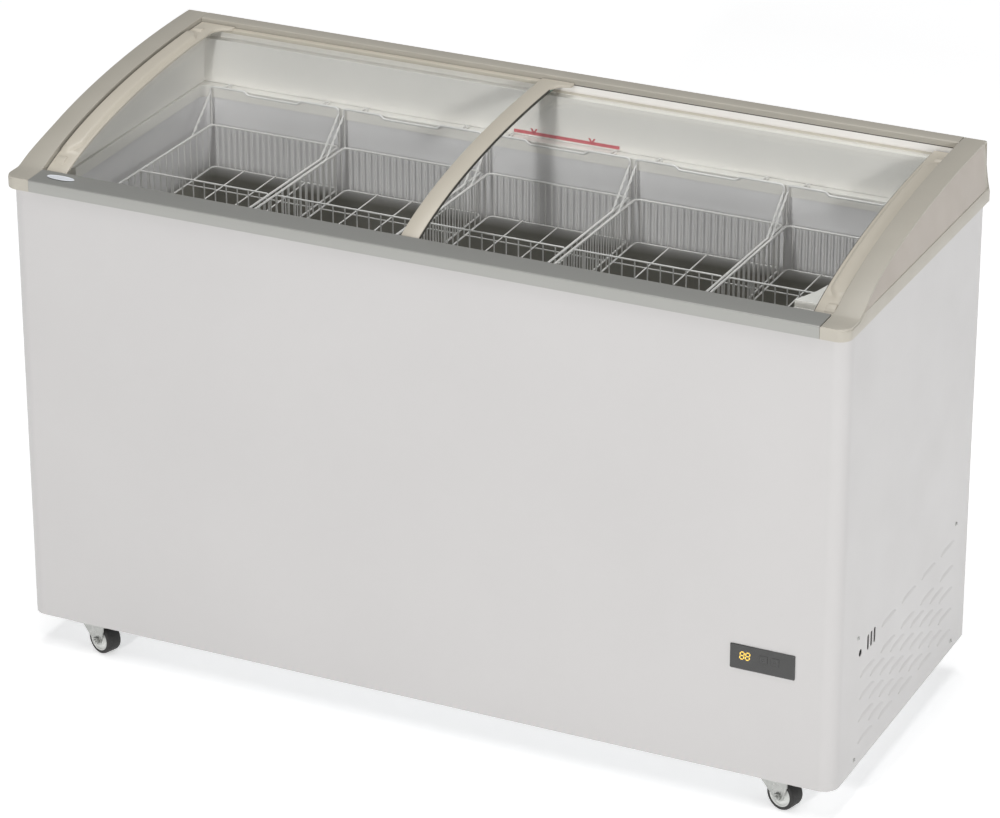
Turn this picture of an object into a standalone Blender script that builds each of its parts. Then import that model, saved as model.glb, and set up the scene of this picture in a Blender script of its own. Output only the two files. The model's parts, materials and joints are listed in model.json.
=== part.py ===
"""Chest freezer with two curved sliding glass lids, five hanging baskets and four castors.

The freezer stands on its castors at z = 0 and is centred on x = 0, y = 0. Its front faces -Y,
its lids slide along X, and the compressor compartment is at the +X end. Lengths are in metres.
"""

import math

import bmesh
import bpy
from mathutils import Matrix

# Clearance left between pieces that touch.
GAP = 0.0004

# Cabinet of painted sheet steel.
CABINET_HALF_W = 0.6965
CABINET_FRONT = -0.287
CABINET_REAR = 0.280
CABINET_BOTTOM = 0.058
CABINET_TOP = 0.8015
CABINET_CORNER_R = 0.026
SHEET = 0.0012

# Plateau pressed down in the middle of the base pan, clear of the castors.
PLATEAU_HALF_W = 0.360
PLATEAU_HALF_D = 0.220
PLATEAU_BOTTOM = 0.056
PLATEAU_CORNER_R = 0.020

# Inner tub, with a step over the compressor compartment.
TUB_HALF_W = 0.642
TUB_FRONT = -0.228
TUB_REAR = 0.230
TUB_FLOOR = 0.135
TUB_TOP = 0.7825
TUB_CORNER_R = 0.020
TUB_SHEET = 0.001
STEP_X = 0.330
STEP_TOP = 0.350
EVAPORATOR_SHEET = 0.0008
EVAPORATOR_Z = (0.372, 0.762)
COMPARTMENT_X = 0.385
COMPARTMENT_TOP = 0.295

# Top frame: front rail, rear rail and the two curved end frames.
FRAME_HALF_W = 0.700
FRAME_FRONT = -0.298
FRAME_REAR = 0.298
FRAME_BOTTOM = 0.8022
FRAME_CORNER_R = 0.020
RAIL_SEAM_X = 0.6552
RAIL_TOP = 0.822
RAIL_BACK = -0.2525
SKIRT_TOP = 0.826
END_TOP_OUTER_X = 0.6907
END_TOP_INNER_X = 0.6575
END_LEDGE_X = 0.645
REAR_TOP_Y = 0.284
REAR_TOP_Z = 0.9045
REAR_WALL_Y = 0.2646
THROAT_HALF_W = 0.640
THROAT_FRONT = -0.226
THROAT_REAR = 0.228
THROAT_CORNER_R = {"front": 0.060, "rear": 0.010}
THROAT_REBATE_Y = (-0.2522, -0.180)
THROAT_REBATE_Z = 0.7905
RAIL_WALL = 0.002
TRACK_BACK = -0.2522
TRACK_LIP = -0.2508
TRACK_TIP = -0.2478
TRACK_FINS = ((0.7912, 0.7930), (0.8035, 0.8050), (0.8158, 0.8172))
REAR_FOOT_Y = 0.2450
REAR_SHELF_Y = 0.2500
REAR_SHELF_Z = 0.8755
REAR_LIP_Z = 0.9022
REAR_SLOPE_Y = 0.2965
TOP_CHAMFER = 0.002
LEDGE_FRONT = -0.226
LEDGE_DEPTH = 0.029
BADGE_CENTRE = (-0.611, -0.2735)
BADGE_HALF = (0.024, 0.0075)
BADGE_Z = (0.8238, 0.8248)

# The end frames and both lids follow one ellipse in the Y-Z plane.
CURVE_Y = 0.2916
CURVE_Z = 0.7542
CURVE_A = 0.6067
CURVE_B = 0.1503
CURVE_START = -0.250

# Lids. Depths are measured down from the end frames' curve.
LID_FRONT = -0.249
LID_REAR = 0.262
GLASS = 0.004
UPPER_GLASS_DEPTH = 0.011
LOWER_GLASS_DEPTH = 0.023
STRIP = 0.0037
LID_END_X = 0.656
LID_STRIP_INNER_X = 0.611
CENTRE_STRIP_X = (-0.0405, -0.0106)
LOWER_CENTRE_STRIP_W = 0.018
GLASS_SETBACK = 0.0015
HANDLE_Y = (-0.205, 0.215)
HANDLE_RISE = 0.0032
GRIP_INNER_X = 0.636
FINGER_GAP = 0.0075

# Baskets hang between the ledge at the rear and a rail on the front wall of the tub.
BASKET_W = 0.244
BASKET_LEFT_EDGES = (-0.626, -0.378, -0.126, 0.139, 0.390)
BASKET_Y = (-0.2145, 0.2225)
BASKET_Z = (0.663, 0.7486)
BASKET_WALL = 0.003
BASKET_ROD = 0.004
REAR_HOOK_TOP = 0.8068
FRONT_HOOK_TOP = 0.7698
REAR_HOOK_Y = 0.2400
FRONT_HOOK_Y = -0.2240
HOOK_X = 0.090
HANGER_DIP = 0.003
DIVIDER_Y = -0.019
DIVIDER_SHEET = 0.0024
BASKET_RAIL_HALF_W = 0.610
BASKET_RAIL_Y = -0.2175
BASKET_RAIL_Z = (0.7450, 0.7652)
BASKET_RAIL_SHEET = 0.0013

# Castors.
WHEEL_R = 0.025
WHEEL_W = 0.028
CASTOR_TRAIL = 0.014
CASTOR_PLATE_HALF = 0.030
CASTOR_PLATE_BOTTOM = 0.0555
FORK_X = (-0.020, 0.030)
FORK_SHEET = 0.002
FORK_CLEARANCE = 0.0032
CROWN_Z = (0.0516, 0.0540)
CHEEK_SHOULDER_Z = 0.0440
RACE_R = 0.017
RACE_TOP = 0.0551
AXLE_R = 0.0030
CASTORS = {
    "front_left": (-0.590, -0.254, 20.0),
    "front_right": (0.594, -0.252, 16.0),
    "rear_left": (-0.590, 0.245, -14.0),
    "rear_right": (0.594, 0.245, 28.0),
}

# Control panel on the front.
PANEL_X = (0.5255, 0.6300)
PANEL_Z = (0.2372, 0.2783)
KEY_SIZE = 0.0130
KEY_Z = 0.2608
KEY_X = {"key_set": 0.5795, "key_mode": 0.5980}
PANEL_LIP = 0.003
BEZEL_PROUD = 0.0018
BEZEL_DEPTH = 0.014
KEY_PROUD = 0.0002
KEY_DEPTH = 0.0036
KEY_POCKET_DEPTH = 0.0052
CONTROLLER_DEPTH = 0.024
CONTROLLER_Z = (0.236, 0.280)

# Louvres in the right-hand side of the cabinet.
LOUVRE_L = 0.0615
LOUVRE_H = 0.0016
LOUVRE_PITCH_Y = 0.0865
LOUVRE_PITCH_Z = 0.0190
LOUVRE_Y = -0.188
LOUVRE_Z = 0.0950
LOUVRE_TOP_Z = 0.2530
SLOT_Y = -0.1625
SLOT_PITCH = 0.0135
SLOT_W = 0.0075
SLOT_Z = (0.2425, 0.2685)
SIDE_HOLE = (-0.191, 0.2525)
SIDE_HOLE_R = 0.006

# Compressor: centre of its can, and the plate that its four feet carry.
COMPRESSOR_X = 0.475
COMPRESSOR_Y = 0.130
COMPRESSOR_LIFT = 0.030
COMPRESSOR_PLATE_HALF = (0.055, 0.090)
COMPRESSOR_PLATE_Z = (0.016, 0.029)
COMPRESSOR_FEET = (0.045, 0.080)
COMPRESSOR_FOOT_R = 0.010

# Finned condenser behind the louvres.
CONDENSER_X = (0.640, 0.684)
CONDENSER_FRONT = -0.190
CONDENSER_TOP = 0.255
CONDENSER_WEB = 0.006
FIN_COUNT = 20
FIN_PITCH = 0.010
FIN = 0.0016

# Condenser fan. Its axle runs along X.
FAN_AT = (0.600, -0.090, 0.165)
FAN_R = 0.062
SHROUD_X = (0.618, 0.6215)
SHROUD_Y = (-0.190, 0.010)
SHROUD_TOP = 0.262
MOTOR_R = 0.030
MOTOR_X = (0.545, 0.592)
MOTOR_LEG_X = (0.555, 0.575)
MOTOR_LEG_HALF = 0.012
SHAFT_R = 0.003
SHAFT_END_X = 0.608
HUB_R = 0.019
HUB_X = (0.5935, 0.613)
VANE = (0.0018, 0.032, 0.062)
VANE_ROOT = 0.012
VANE_TWIST = 22.0
VANE_COUNT = 5

# Fittings of the compressor compartment and the rear panel.
DRIER_AT = (0.590, 0.120, 0.180)
DRIER_TILT = 60.0
INLET_AT = (0.610, 0.110)
DRAIN_AT = (-0.600, 0.090)

# Reach of the cutters that pass right through the cabinet.
CUT_X = 0.8
CUT_Y = (-0.4, 0.4)
CUT_TOP = 1.0
CUT_SKIN = 0.01

# Linear colour, roughness and metallic value of each finish.
FINISHES = {
    "white_paint": ((0.66, 0.64, 0.62), 0.35, 0.0),
    "galvanised": ((0.55, 0.56, 0.57), 0.45, 0.9),
    "foam": ((0.80, 0.72, 0.48), 0.9, 0.0),
    "liner": ((0.62, 0.61, 0.63), 0.4, 0.0),
    "beige_plastic": ((0.39, 0.35, 0.28), 0.45, 0.0),
    "grey_rail": ((0.42, 0.42, 0.40), 0.4, 0.6),
    "glass": ((0.90, 0.93, 0.92), 0.03, 0.0),
    "white_wire": ((0.80, 0.80, 0.78), 0.4, 0.0),
    "zinc": ((0.60, 0.61, 0.62), 0.35, 0.95),
    "tyre": ((0.02, 0.02, 0.02), 0.7, 0.0),
    "black_gloss": ((0.02, 0.02, 0.02), 0.12, 0.0),
    "black_metal": ((0.03, 0.03, 0.03), 0.5, 0.3),
    "aluminium": ((0.70, 0.71, 0.72), 0.4, 0.9),
    "copper": ((0.72, 0.35, 0.20), 0.3, 0.95),
    "black_plastic": ((0.04, 0.04, 0.04), 0.5, 0.0),
    "grey_plastic": ((0.30, 0.31, 0.32), 0.5, 0.0),
}


def clear_scene():
    for item in list(bpy.data.objects):
        bpy.data.objects.remove(item, do_unlink=True)


def new_collection(name):
    collection = bpy.data.collections.new(name)
    bpy.context.scene.collection.children.link(collection)
    return collection


def make_materials():
    made = {}
    for name, (colour, roughness, metallic) in FINISHES.items():
        material = bpy.data.materials.new(name)
        material.use_nodes = True
        shader = material.node_tree.nodes["Principled BSDF"]
        shader.inputs["Base Color"].default_value = (*colour, 1.0)
        shader.inputs["Roughness"].default_value = roughness
        shader.inputs["Metallic"].default_value = metallic
        made[name] = material
    return made


clear_scene()
PARTS = new_collection("chest_freezer")
CUTTERS = new_collection("cutters")
MATERIALS = make_materials()


# ---------------------------------------------------------------- outlines

def curve_height(y):
    """Height of the end frames' curve at depth y."""
    reach = (CURVE_Y - y) / CURVE_A
    return CURVE_Z + CURVE_B * math.sqrt(1.0 - reach * reach)


def steps(low, high, count):
    return [low + (high - low) * i / count for i in range(count + 1)]


def rounded_rectangle(x0, x1, y0, y1, radii, segments=6):
    """Counter-clockwise outline. radii: front-left, front-right, rear-right, rear-left."""
    corners = ((x0, y0, 180), (x1, y0, 270), (x1, y1, 0), (x0, y1, 90))
    inward = ((1, 1), (-1, 1), (-1, -1), (1, -1))
    points = []
    for (x, y, start), (dx, dy), radius in zip(corners, inward, radii):
        if radius <= 0.0:
            points.append((x, y))
            continue
        cx, cy = x + dx * radius, y + dy * radius
        for i in range(segments + 1):
            angle = math.radians(start + 90.0 * i / segments)
            points.append((cx + radius * math.cos(angle), cy + radius * math.sin(angle)))
    return points


def curved_band(y0, y1, top_depth, thickness, count=18):
    """Y-Z outline of a sheet that follows the curve, top_depth below it."""
    ys = steps(y0, y1, count)
    top = [(y, curve_height(y) - top_depth) for y in ys]
    bottom = [(y, z - thickness) for y, z in reversed(top)]
    return top + bottom


# ---------------------------------------------------------------- solids

def place(name, bm, finish=None, cutter=False):
    """Turn a bmesh into a named object in its collection."""
    bmesh.ops.recalc_face_normals(bm, faces=bm.faces)
    mesh = bpy.data.meshes.new(name)
    bm.to_mesh(mesh)
    bm.free()
    item = bpy.data.objects.new(name, mesh)
    if cutter:
        CUTTERS.objects.link(item)
        item.hide_render = True
        item.display_type = "WIRE"
        return item
    mesh.materials.append(MATERIALS[finish])
    PARTS.objects.link(item)
    return item


def prism_mesh(outline, axis, low, high):
    """Extrude a flat outline along axis. The outline holds the other two axes in X, Y, Z order."""
    order = {"x": (2, 0, 1), "y": (0, 2, 1), "z": (0, 1, 2)}[axis]
    bm = bmesh.new()
    ring = []
    for a, b in outline:
        local = (a, b, low)
        ring.append(bm.verts.new([local[i] for i in order]))
    face = bm.faces.new(ring)
    shift = [0.0, 0.0, 0.0]
    shift["xyz".index(axis)] = high - low
    grown = bmesh.ops.extrude_face_region(bm, geom=[face], use_keep_orig=True)
    moved = [v for v in grown["geom"] if isinstance(v, bmesh.types.BMVert)]
    bmesh.ops.translate(bm, verts=moved, vec=shift)
    return bm


def prism(name, outline, axis, low, high, finish=None, cutter=False):
    return place(name, prism_mesh(outline, axis, low, high), finish, cutter)


def box(name, x, y, z, finish=None, cutter=False):
    bm = bmesh.new()
    bmesh.ops.create_cube(bm, size=1.0)
    size = (x[1] - x[0], y[1] - y[0], z[1] - z[0])
    centre = (sum(x) / 2, sum(y) / 2, sum(z) / 2)
    bmesh.ops.scale(bm, vec=size, verts=bm.verts)
    bmesh.ops.translate(bm, vec=centre, verts=bm.verts)
    return place(name, bm, finish, cutter)


def cylinder(name, radius, axis, centre, low, high, finish=None, cutter=False, segments=24):
    """Cylinder along an axis from low to high. centre holds the other two coordinates."""
    bm = bmesh.new()
    bmesh.ops.create_cone(
        bm, cap_ends=True, segments=segments, radius1=radius, radius2=radius, depth=high - low
    )
    if axis == "x":
        bmesh.ops.rotate(bm, verts=bm.verts, matrix=Matrix.Rotation(math.pi / 2, 3, "Y"))
        middle = ((low + high) / 2, *centre)
    elif axis == "y":
        bmesh.ops.rotate(bm, verts=bm.verts, matrix=Matrix.Rotation(math.pi / 2, 3, "X"))
        middle = (centre[0], (low + high) / 2, centre[1])
    else:
        middle = (*centre, (low + high) / 2)
    bmesh.ops.translate(bm, verts=bm.verts, vec=middle)
    return place(name, bm, finish, cutter)


def turned(name, profile, finish, segments=28):
    """Solid of revolution about Z from (radius, z) points that run from the axis down its outside."""
    mesh = bpy.data.meshes.new(name)
    points = [(radius, 0.0, z) for radius, z in profile]
    mesh.from_pydata(points, [(i, i + 1) for i in range(len(points) - 1)], [])
    mesh.materials.append(MATERIALS[finish])
    item = bpy.data.objects.new(name, mesh)
    PARTS.objects.link(item)
    screw = item.modifiers.new("turn", "SCREW")
    screw.axis = "Z"
    screw.steps = segments
    screw.render_steps = segments
    screw.use_merge_vertices = True
    screw.merge_threshold = 0.00001
    return item


def boolean(item, other, operation):
    modifier = item.modifiers.new(operation.lower(), "BOOLEAN")
    modifier.operation = operation
    modifier.object = other
    modifier.solver = "EXACT"
    return item


def cut(item, *others):
    for other in others:
        boolean(item, other, "DIFFERENCE")
    return item


def join(item, *others):
    for other in others:
        boolean(item, other, "UNION")
    return item


# ---------------------------------------------------------------- cabinet

def louvre_rows():
    """(first slit's y, z, number of slits) for each row of louvres."""
    rows = [(LOUVRE_Y + LOUVRE_PITCH_Y, LOUVRE_TOP_Z, 4)]
    for i in range(7):
        staggered = i % 2
        start = LOUVRE_Y + staggered * LOUVRE_PITCH_Y / 2
        rows.append((start, LOUVRE_Z + i * LOUVRE_PITCH_Z, 5 - staggered))
    return rows


def make_cabinet_wrap():
    """Front and both sides bent from one sheet, with the vents of the compressor compartment."""
    rear = CABINET_REAR - SHEET - GAP
    w, f, r = CABINET_HALF_W, CABINET_FRONT, CABINET_CORNER_R
    outer = rounded_rectangle(-w, w, f, rear, (r, r, 0, 0))
    inner = rounded_rectangle(-w + SHEET, w - SHEET, f + SHEET, rear, (r - SHEET, r - SHEET, 0, 0))
    outline = [outer[-1]] + outer[:-1] + list(reversed(inner[:-1])) + [inner[-1]]
    wrap = prism("cabinet_wrap", outline, "z", CABINET_BOTTOM, CABINET_TOP, "white_paint")
    side = (w - CUT_SKIN, w + CUT_SKIN)
    count = 0
    for start, z, slits in louvre_rows():
        for i in range(slits):
            y = start + i * LOUVRE_PITCH_Y
            slit = box(
                f"slit_{count}", side, (y, y + LOUVRE_L), (z, z + LOUVRE_H), cutter=True
            )
            cut(wrap, slit)
            count += 1
    for i in range(3):
        y = SLOT_Y + SLOT_PITCH * i
        cut(wrap, box(f"slot_{i}", side, (y, y + SLOT_W), SLOT_Z, cutter=True))
    cut(wrap, cylinder("side_hole", SIDE_HOLE_R, "x", SIDE_HOLE, *side, cutter=True))
    inset = PANEL_LIP - 0.0005
    window_x = (PANEL_X[0] + inset, PANEL_X[1] - inset)
    window_z = (PANEL_Z[0] + inset, PANEL_Z[1] - inset)
    skin = (f - CUT_SKIN, f + CUT_SKIN)
    cut(wrap, box("panel_window", window_x, skin, window_z, cutter=True))


def make_rear_panel():
    half = CABINET_HALF_W - GAP
    z = (CABINET_BOTTOM, CABINET_TOP)
    box("rear_panel", (-half, half), (CABINET_REAR - SHEET, CABINET_REAR), z, "galvanised")


def inside_sheet(offset):
    """Outline of the room inside the cabinet's sheets, offset inwards."""
    inset = SHEET + offset
    half = CABINET_HALF_W - inset
    r = CABINET_CORNER_R - inset
    front, rear = CABINET_FRONT + inset, CABINET_REAR - inset
    return rounded_rectangle(-half, half, front, rear, (r, r, 0, 0))


def make_floor_plates():
    """Base pan under the tub, with its plateau, and the tray that carries the compressor."""
    z = (CABINET_BOTTOM, CABINET_BOTTOM + SHEET)
    pan = prism("base_pan", inside_sheet(GAP), "z", *z, "galvanised")
    tray = prism("compressor_tray", inside_sheet(GAP), "z", *z, "galvanised")
    tall = (0.0, CUT_TOP)
    cut(pan, box("pan_cut", (COMPARTMENT_X, CUT_X), CUT_Y, tall, cutter=True))
    cut(tray, box("tray_cut", (-CUT_X, COMPARTMENT_X + GAP), CUT_Y, tall, cutter=True))
    w, d, r = PLATEAU_HALF_W, PLATEAU_HALF_D, PLATEAU_CORNER_R
    outline = rounded_rectangle(-w, w, -d, d, (r, r, r, r))
    top = CABINET_BOTTOM + SHEET / 2
    join(pan, prism("pan_plateau", outline, "z", PLATEAU_BOTTOM, top, cutter=True))


def tub_volume(name, grow, top, finish=None, cutter=False):
    """The tub's space, grown outwards by grow, with the step taken out of it."""
    half = TUB_HALF_W + grow
    r = TUB_CORNER_R + grow
    front, rear = TUB_FRONT - grow, TUB_REAR + grow
    outline = rounded_rectangle(-half, half, front, rear, (r, r, r, r))
    volume = prism(name, outline, "z", TUB_FLOOR - grow, top, finish, cutter)
    x = (STEP_X + grow, CUT_X)
    step = box(name + "_step", x, CUT_Y, (0.0, STEP_TOP - grow), cutter=True)
    return cut(volume, step)


def make_insulation_and_tub():
    foam_bottom = CABINET_BOTTOM + SHEET + GAP
    foam = prism("foam_insulation", inside_sheet(GAP), "z", foam_bottom, TUB_TOP, "foam")
    pocket = TUB_SHEET + 2 * GAP + EVAPORATOR_SHEET
    cut(foam, tub_volume("foam_pocket", pocket, CUT_TOP, cutter=True))
    room = (COMPARTMENT_X, CUT_X), CUT_Y, (0.0, COMPARTMENT_TOP)
    cut(foam, box("compartment", *room, cutter=True))
    liner = tub_volume("inner_liner", TUB_SHEET, TUB_TOP, "liner")
    cut(liner, tub_volume("tub_space", 0.0, CUT_TOP, cutter=True))


def ring_outline(grow):
    half = TUB_HALF_W + grow
    r = TUB_CORNER_R + grow
    return rounded_rectangle(-half, half, TUB_FRONT - grow, TUB_REAR + grow, (r, r, r, r))


def make_evaporator():
    """Sheet evaporator wrapped round the tub inside the foam."""
    inner = TUB_SHEET + GAP
    outer = inner + EVAPORATOR_SHEET
    wrap = prism("evaporator_wrap", ring_outline(outer), "z", *EVAPORATOR_Z, "aluminium")
    cut(wrap, prism("evaporator_hole", ring_outline(inner), "z", 0.0, CUT_TOP, cutter=True))


# ---------------------------------------------------------------- top frame

def make_throat_frame():
    """Ring that closes the wall between the cabinet's sheet and the tub."""
    z = (TUB_TOP + GAP, FRAME_BOTTOM - GAP)
    ring = prism("throat_frame", inside_sheet(GAP), "z", *z, "beige_plastic")
    front_r, rear_r = THROAT_CORNER_R["front"], THROAT_CORNER_R["rear"]
    opening = rounded_rectangle(
        -THROAT_HALF_W, THROAT_HALF_W, THROAT_FRONT, THROAT_REAR,
        (front_r, front_r, rear_r, rear_r), 8,
    )
    cut(ring, prism("throat_opening", opening, "z", 0.0, CUT_TOP, cutter=True))
    x = (-END_TOP_INNER_X + GAP, END_TOP_INNER_X - GAP)
    tall = (THROAT_REBATE_Z, CUT_TOP)
    cut(ring, box("throat_rebate", x, THROAT_REBATE_Y, tall, cutter=True))


def make_front_rail():
    """Channel with a vertical front face, a top that rises slightly and a rear lip."""
    wall, edge = RAIL_WALL, 0.001
    front, back = FRAME_FRONT, RAIL_BACK
    low, high = FRAME_BOTTOM, RAIL_TOP
    outline = [
        (front, low), (front, high - edge), (front + edge, high), (back, high + 1.5 * edge),
        (back, low), (back - wall, low), (back - wall, high - wall),
        (front + wall, high - wall), (front + wall, low),
    ]
    prism("front_rail", outline, "x", -RAIL_SEAM_X, RAIL_SEAM_X, "grey_rail")


def make_front_track():
    """Three fins that guide the front edges of the two lids."""
    outline = [(TRACK_BACK, TRACK_FINS[0][0])]
    for low, high in TRACK_FINS:
        outline += [(TRACK_LIP, low), (TRACK_TIP, low), (TRACK_TIP, high), (TRACK_LIP, high)]
    outline[-1] = (TRACK_BACK, TRACK_FINS[-1][1])
    prism("front_track", outline, "x", -RAIL_SEAM_X, RAIL_SEAM_X, "grey_plastic")


def make_rear_rail():
    """Upstand behind the lids, with their rear ledge and the top band."""
    outline = [
        (REAR_FOOT_Y, FRAME_BOTTOM), (REAR_SHELF_Y, REAR_SHELF_Z), (REAR_WALL_Y, REAR_SHELF_Z),
        (REAR_WALL_Y, REAR_LIP_Z), (REAR_WALL_Y + TOP_CHAMFER, REAR_LIP_Z + TOP_CHAMFER),
        (REAR_TOP_Y, REAR_TOP_Z), (REAR_SLOPE_Y, SKIRT_TOP),
        (FRAME_REAR, SKIRT_TOP - 0.003), (FRAME_REAR, FRAME_BOTTOM),
    ]
    half = END_LEDGE_X - GAP
    prism("rear_rail", outline, "x", -half, half, "beige_plastic")


def end_stations():
    """(y, outer x, top z) of each section of the right-hand end frame, from front to rear."""
    stations = []
    r = FRAME_CORNER_R
    for degrees in (8, 30, 50, 70, 90):
        angle = math.radians(degrees)
        y = FRAME_FRONT + r * (1 - math.cos(angle))
        stations.append((y, FRAME_HALF_W - r + r * math.sin(angle), RAIL_TOP))
    stations.append((CURVE_START - 0.006, FRAME_HALF_W, RAIL_TOP))
    for y in steps(CURVE_START + 0.004, REAR_TOP_Y, 18):
        stations.append((y, FRAME_HALF_W, min(curve_height(y), REAR_TOP_Z)))
    stations.append((REAR_SLOPE_Y, FRAME_HALF_W, SKIRT_TOP))
    stations.append((FRAME_REAR, FRAME_HALF_W, SKIRT_TOP - 0.003))
    return stations


def end_section(y, outer, top):
    """Section of the right-hand end frame: skirt, inset side panel, top band and inner face."""
    inner = RAIL_SEAM_X + GAP if y < RAIL_BACK else END_TOP_INNER_X
    skirt = min(SKIRT_TOP, top - 0.003)
    rise = min(max((top - SKIRT_TOP) / 0.030, 0.0), 1.0)
    shoulder = outer - 0.003
    crest = shoulder + rise * (END_TOP_OUTER_X - shoulder)
    return [
        (inner, FRAME_BOTTOM), (outer, FRAME_BOTTOM), (outer, skirt),
        (outer - 0.002 * (1 + rise), skirt + 0.0012), (crest, top - 0.0012),
        (crest - TOP_CHAMFER, top), (inner + TOP_CHAMFER, top), (inner, top - TOP_CHAMFER),
    ]


def end_loft(name, side, finish):
    """Loft the sections of one end frame. side is 1 at the right and -1 at the left."""
    bm = bmesh.new()
    rings = []
    for y, outer, top in end_stations():
        ring = [bm.verts.new((side * x, y, z)) for x, z in end_section(y, outer, top)]
        rings.append(ring)
    for near, far in zip(rings, rings[1:]):
        for i in range(len(near)):
            j = (i + 1) % len(near)
            bm.faces.new((near[i], near[j], far[j], far[i]))
    bm.faces.new(rings[0])
    bm.faces.new(rings[-1])
    return place(name, bm, finish)


def make_end_frame(name, side):
    """Curved end frame with the inner ledge that the lids pass over."""
    frame = end_loft(name, side, "beige_plastic")
    x = sorted((side * END_LEDGE_X, side * (END_TOP_INNER_X + 0.004)))
    ledge = [(y, curve_height(y) - LEDGE_DEPTH) for y in steps(LEDGE_FRONT, REAR_WALL_Y, 14)]
    ledge += [(REAR_WALL_Y, FRAME_BOTTOM), (LEDGE_FRONT, FRAME_BOTTOM)]
    wall, lap = REAR_WALL_Y, 0.002
    under_shelf = REAR_SHELF_Z - 0.0055
    corner = [
        (wall - lap, FRAME_BOTTOM), (wall - lap, under_shelf), (wall, under_shelf),
        (wall, REAR_LIP_Z), (wall + TOP_CHAMFER, REAR_LIP_Z + TOP_CHAMFER),
        (REAR_TOP_Y, REAR_TOP_Z - GAP / 2), (REAR_SLOPE_Y - GAP, SKIRT_TOP),
        (FRAME_REAR - GAP, FRAME_BOTTOM),
    ]
    join(frame, prism(name + "_ledge", ledge, "x", *x, cutter=True))
    join(frame, prism(name + "_corner", corner, "x", *x, cutter=True))


def make_badge():
    """Blank oval plate near the left end of the front rail."""
    outline = []
    for angle in steps(0.0, 2 * math.pi, 28)[:-1]:
        x = BADGE_CENTRE[0] + BADGE_HALF[0] * math.cos(angle)
        outline.append((x, BADGE_CENTRE[1] + BADGE_HALF[1] * math.sin(angle)))
    prism("badge_plate", outline, "z", *BADGE_Z, "aluminium")


# ---------------------------------------------------------------- lids

def make_handle_strip(name, side, glass_depth):
    """Moulded strip on a lid's outer end, with a raised grip and a finger gap beside it."""
    x = sorted((side * LID_STRIP_INNER_X, side * LID_END_X))
    depth = glass_depth - GAP - STRIP
    band = curved_band(LID_FRONT + 0.006, LID_REAR - 0.0005, depth, STRIP)
    strip = prism(name, band, "x", *x, "beige_plastic")
    grip_x = sorted((side * GRIP_INNER_X, side * (LID_END_X - FINGER_GAP + 0.001)))
    grip = curved_band(*HANDLE_Y, depth - HANDLE_RISE, HANDLE_RISE + 0.002, 14)
    join(strip, prism(name + "_grip", grip, "x", *grip_x, cutter=True))
    gap_x = sorted((side * (LID_END_X - FINGER_GAP), side * CUT_X))
    cut(strip, box(name + "_gap", gap_x, HANDLE_Y, (0.0, CUT_TOP), cutter=True))


def make_centre_strip(name, glass_depth, x):
    band = curved_band(LID_FRONT + 0.006, LID_REAR - 0.0005, glass_depth - GAP - STRIP, STRIP)
    prism(name, band, "x", *x, "beige_plastic")


def make_lids():
    """Left lid on the upper level, right lid on the lower one, overlapping at the centre."""
    outer = LID_END_X - FINGER_GAP - 0.001
    left, right = CENTRE_STRIP_X
    edge = GLASS_SETBACK
    upper = curved_band(LID_FRONT, LID_REAR, UPPER_GLASS_DEPTH, GLASS)
    lower = curved_band(LID_FRONT, LID_REAR, LOWER_GLASS_DEPTH, GLASS)
    prism("upper_glass", upper, "x", -outer, right - edge, "glass")
    prism("lower_glass", lower, "x", left + edge, outer, "glass")
    make_handle_strip("upper_handle_strip", -1, UPPER_GLASS_DEPTH)
    make_handle_strip("lower_handle_strip", 1, LOWER_GLASS_DEPTH)
    make_centre_strip("upper_centre_strip", UPPER_GLASS_DEPTH, CENTRE_STRIP_X)
    lower_x = (left, left + LOWER_CENTRE_STRIP_W)
    make_centre_strip("lower_centre_strip", LOWER_GLASS_DEPTH, lower_x)


# ---------------------------------------------------------------- baskets

def hanger_outline(half, low, high):
    """X-Z outline of an arch: two posts and a top bar with a lowered middle."""
    rod = BASKET_ROD
    dip = HANGER_DIP
    a, b = 0.42 * half, 0.38 * half
    return [
        (-half, low), (-half, high), (-a, high), (-b, high - dip), (b, high - dip), (a, high),
        (half, high), (half, low), (half - rod, low), (half - rod, high - rod),
        (a, high - rod), (b, high - rod - dip), (-b, high - rod - dip), (-a, high - rod),
        (-half + rod, high - rod), (-half + rod, low),
    ]


def make_basket_mesh():
    """One basket about its own centre line: a tray with a front and a rear hanger."""
    half = BASKET_W / 2
    front, rear = BASKET_Y
    low, high = BASKET_Z
    wall, rod = BASKET_WALL, BASKET_ROD
    basket = box("basket_1", (-half, half), BASKET_Y, BASKET_Z, "white_wire")
    inner = (-half + wall, half - wall), (front + wall, rear - wall), (low + wall, 1.0)
    cut(basket, box("basket_inside", *inner, cutter=True))
    foot = high - 2 * wall
    rear_arch = hanger_outline(half, foot, REAR_HOOK_TOP)
    join(basket, prism("rear_arch", rear_arch, "y", rear - rod, rear, cutter=True))
    front_arch = hanger_outline(half, foot, FRONT_HOOK_TOP)
    join(basket, prism("front_arch", front_arch, "y", front, front + rod, cutter=True))
    for i, x in enumerate((-HOOK_X, HOOK_X)):
        wide = (x - rod, x + rod)
        for end, reach, top in (
            ("rear", (rear - rod / 2, REAR_HOOK_Y), REAR_HOOK_TOP),
            ("front", (FRONT_HOOK_Y, front + rod / 2), FRONT_HOOK_TOP),
        ):
            hook = (top - rod, top - GAP / 2)
            join(basket, box(f"{end}_hook_{i}", wide, reach, hook, cutter=True))
    return basket


def bake(item):
    """Replace an object's mesh by its evaluated one, so that copies can share it."""
    graph = bpy.context.evaluated_depsgraph_get()
    mesh = bpy.data.meshes.new_from_object(item.evaluated_get(graph))
    item.modifiers.clear()
    item.data = mesh


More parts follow.
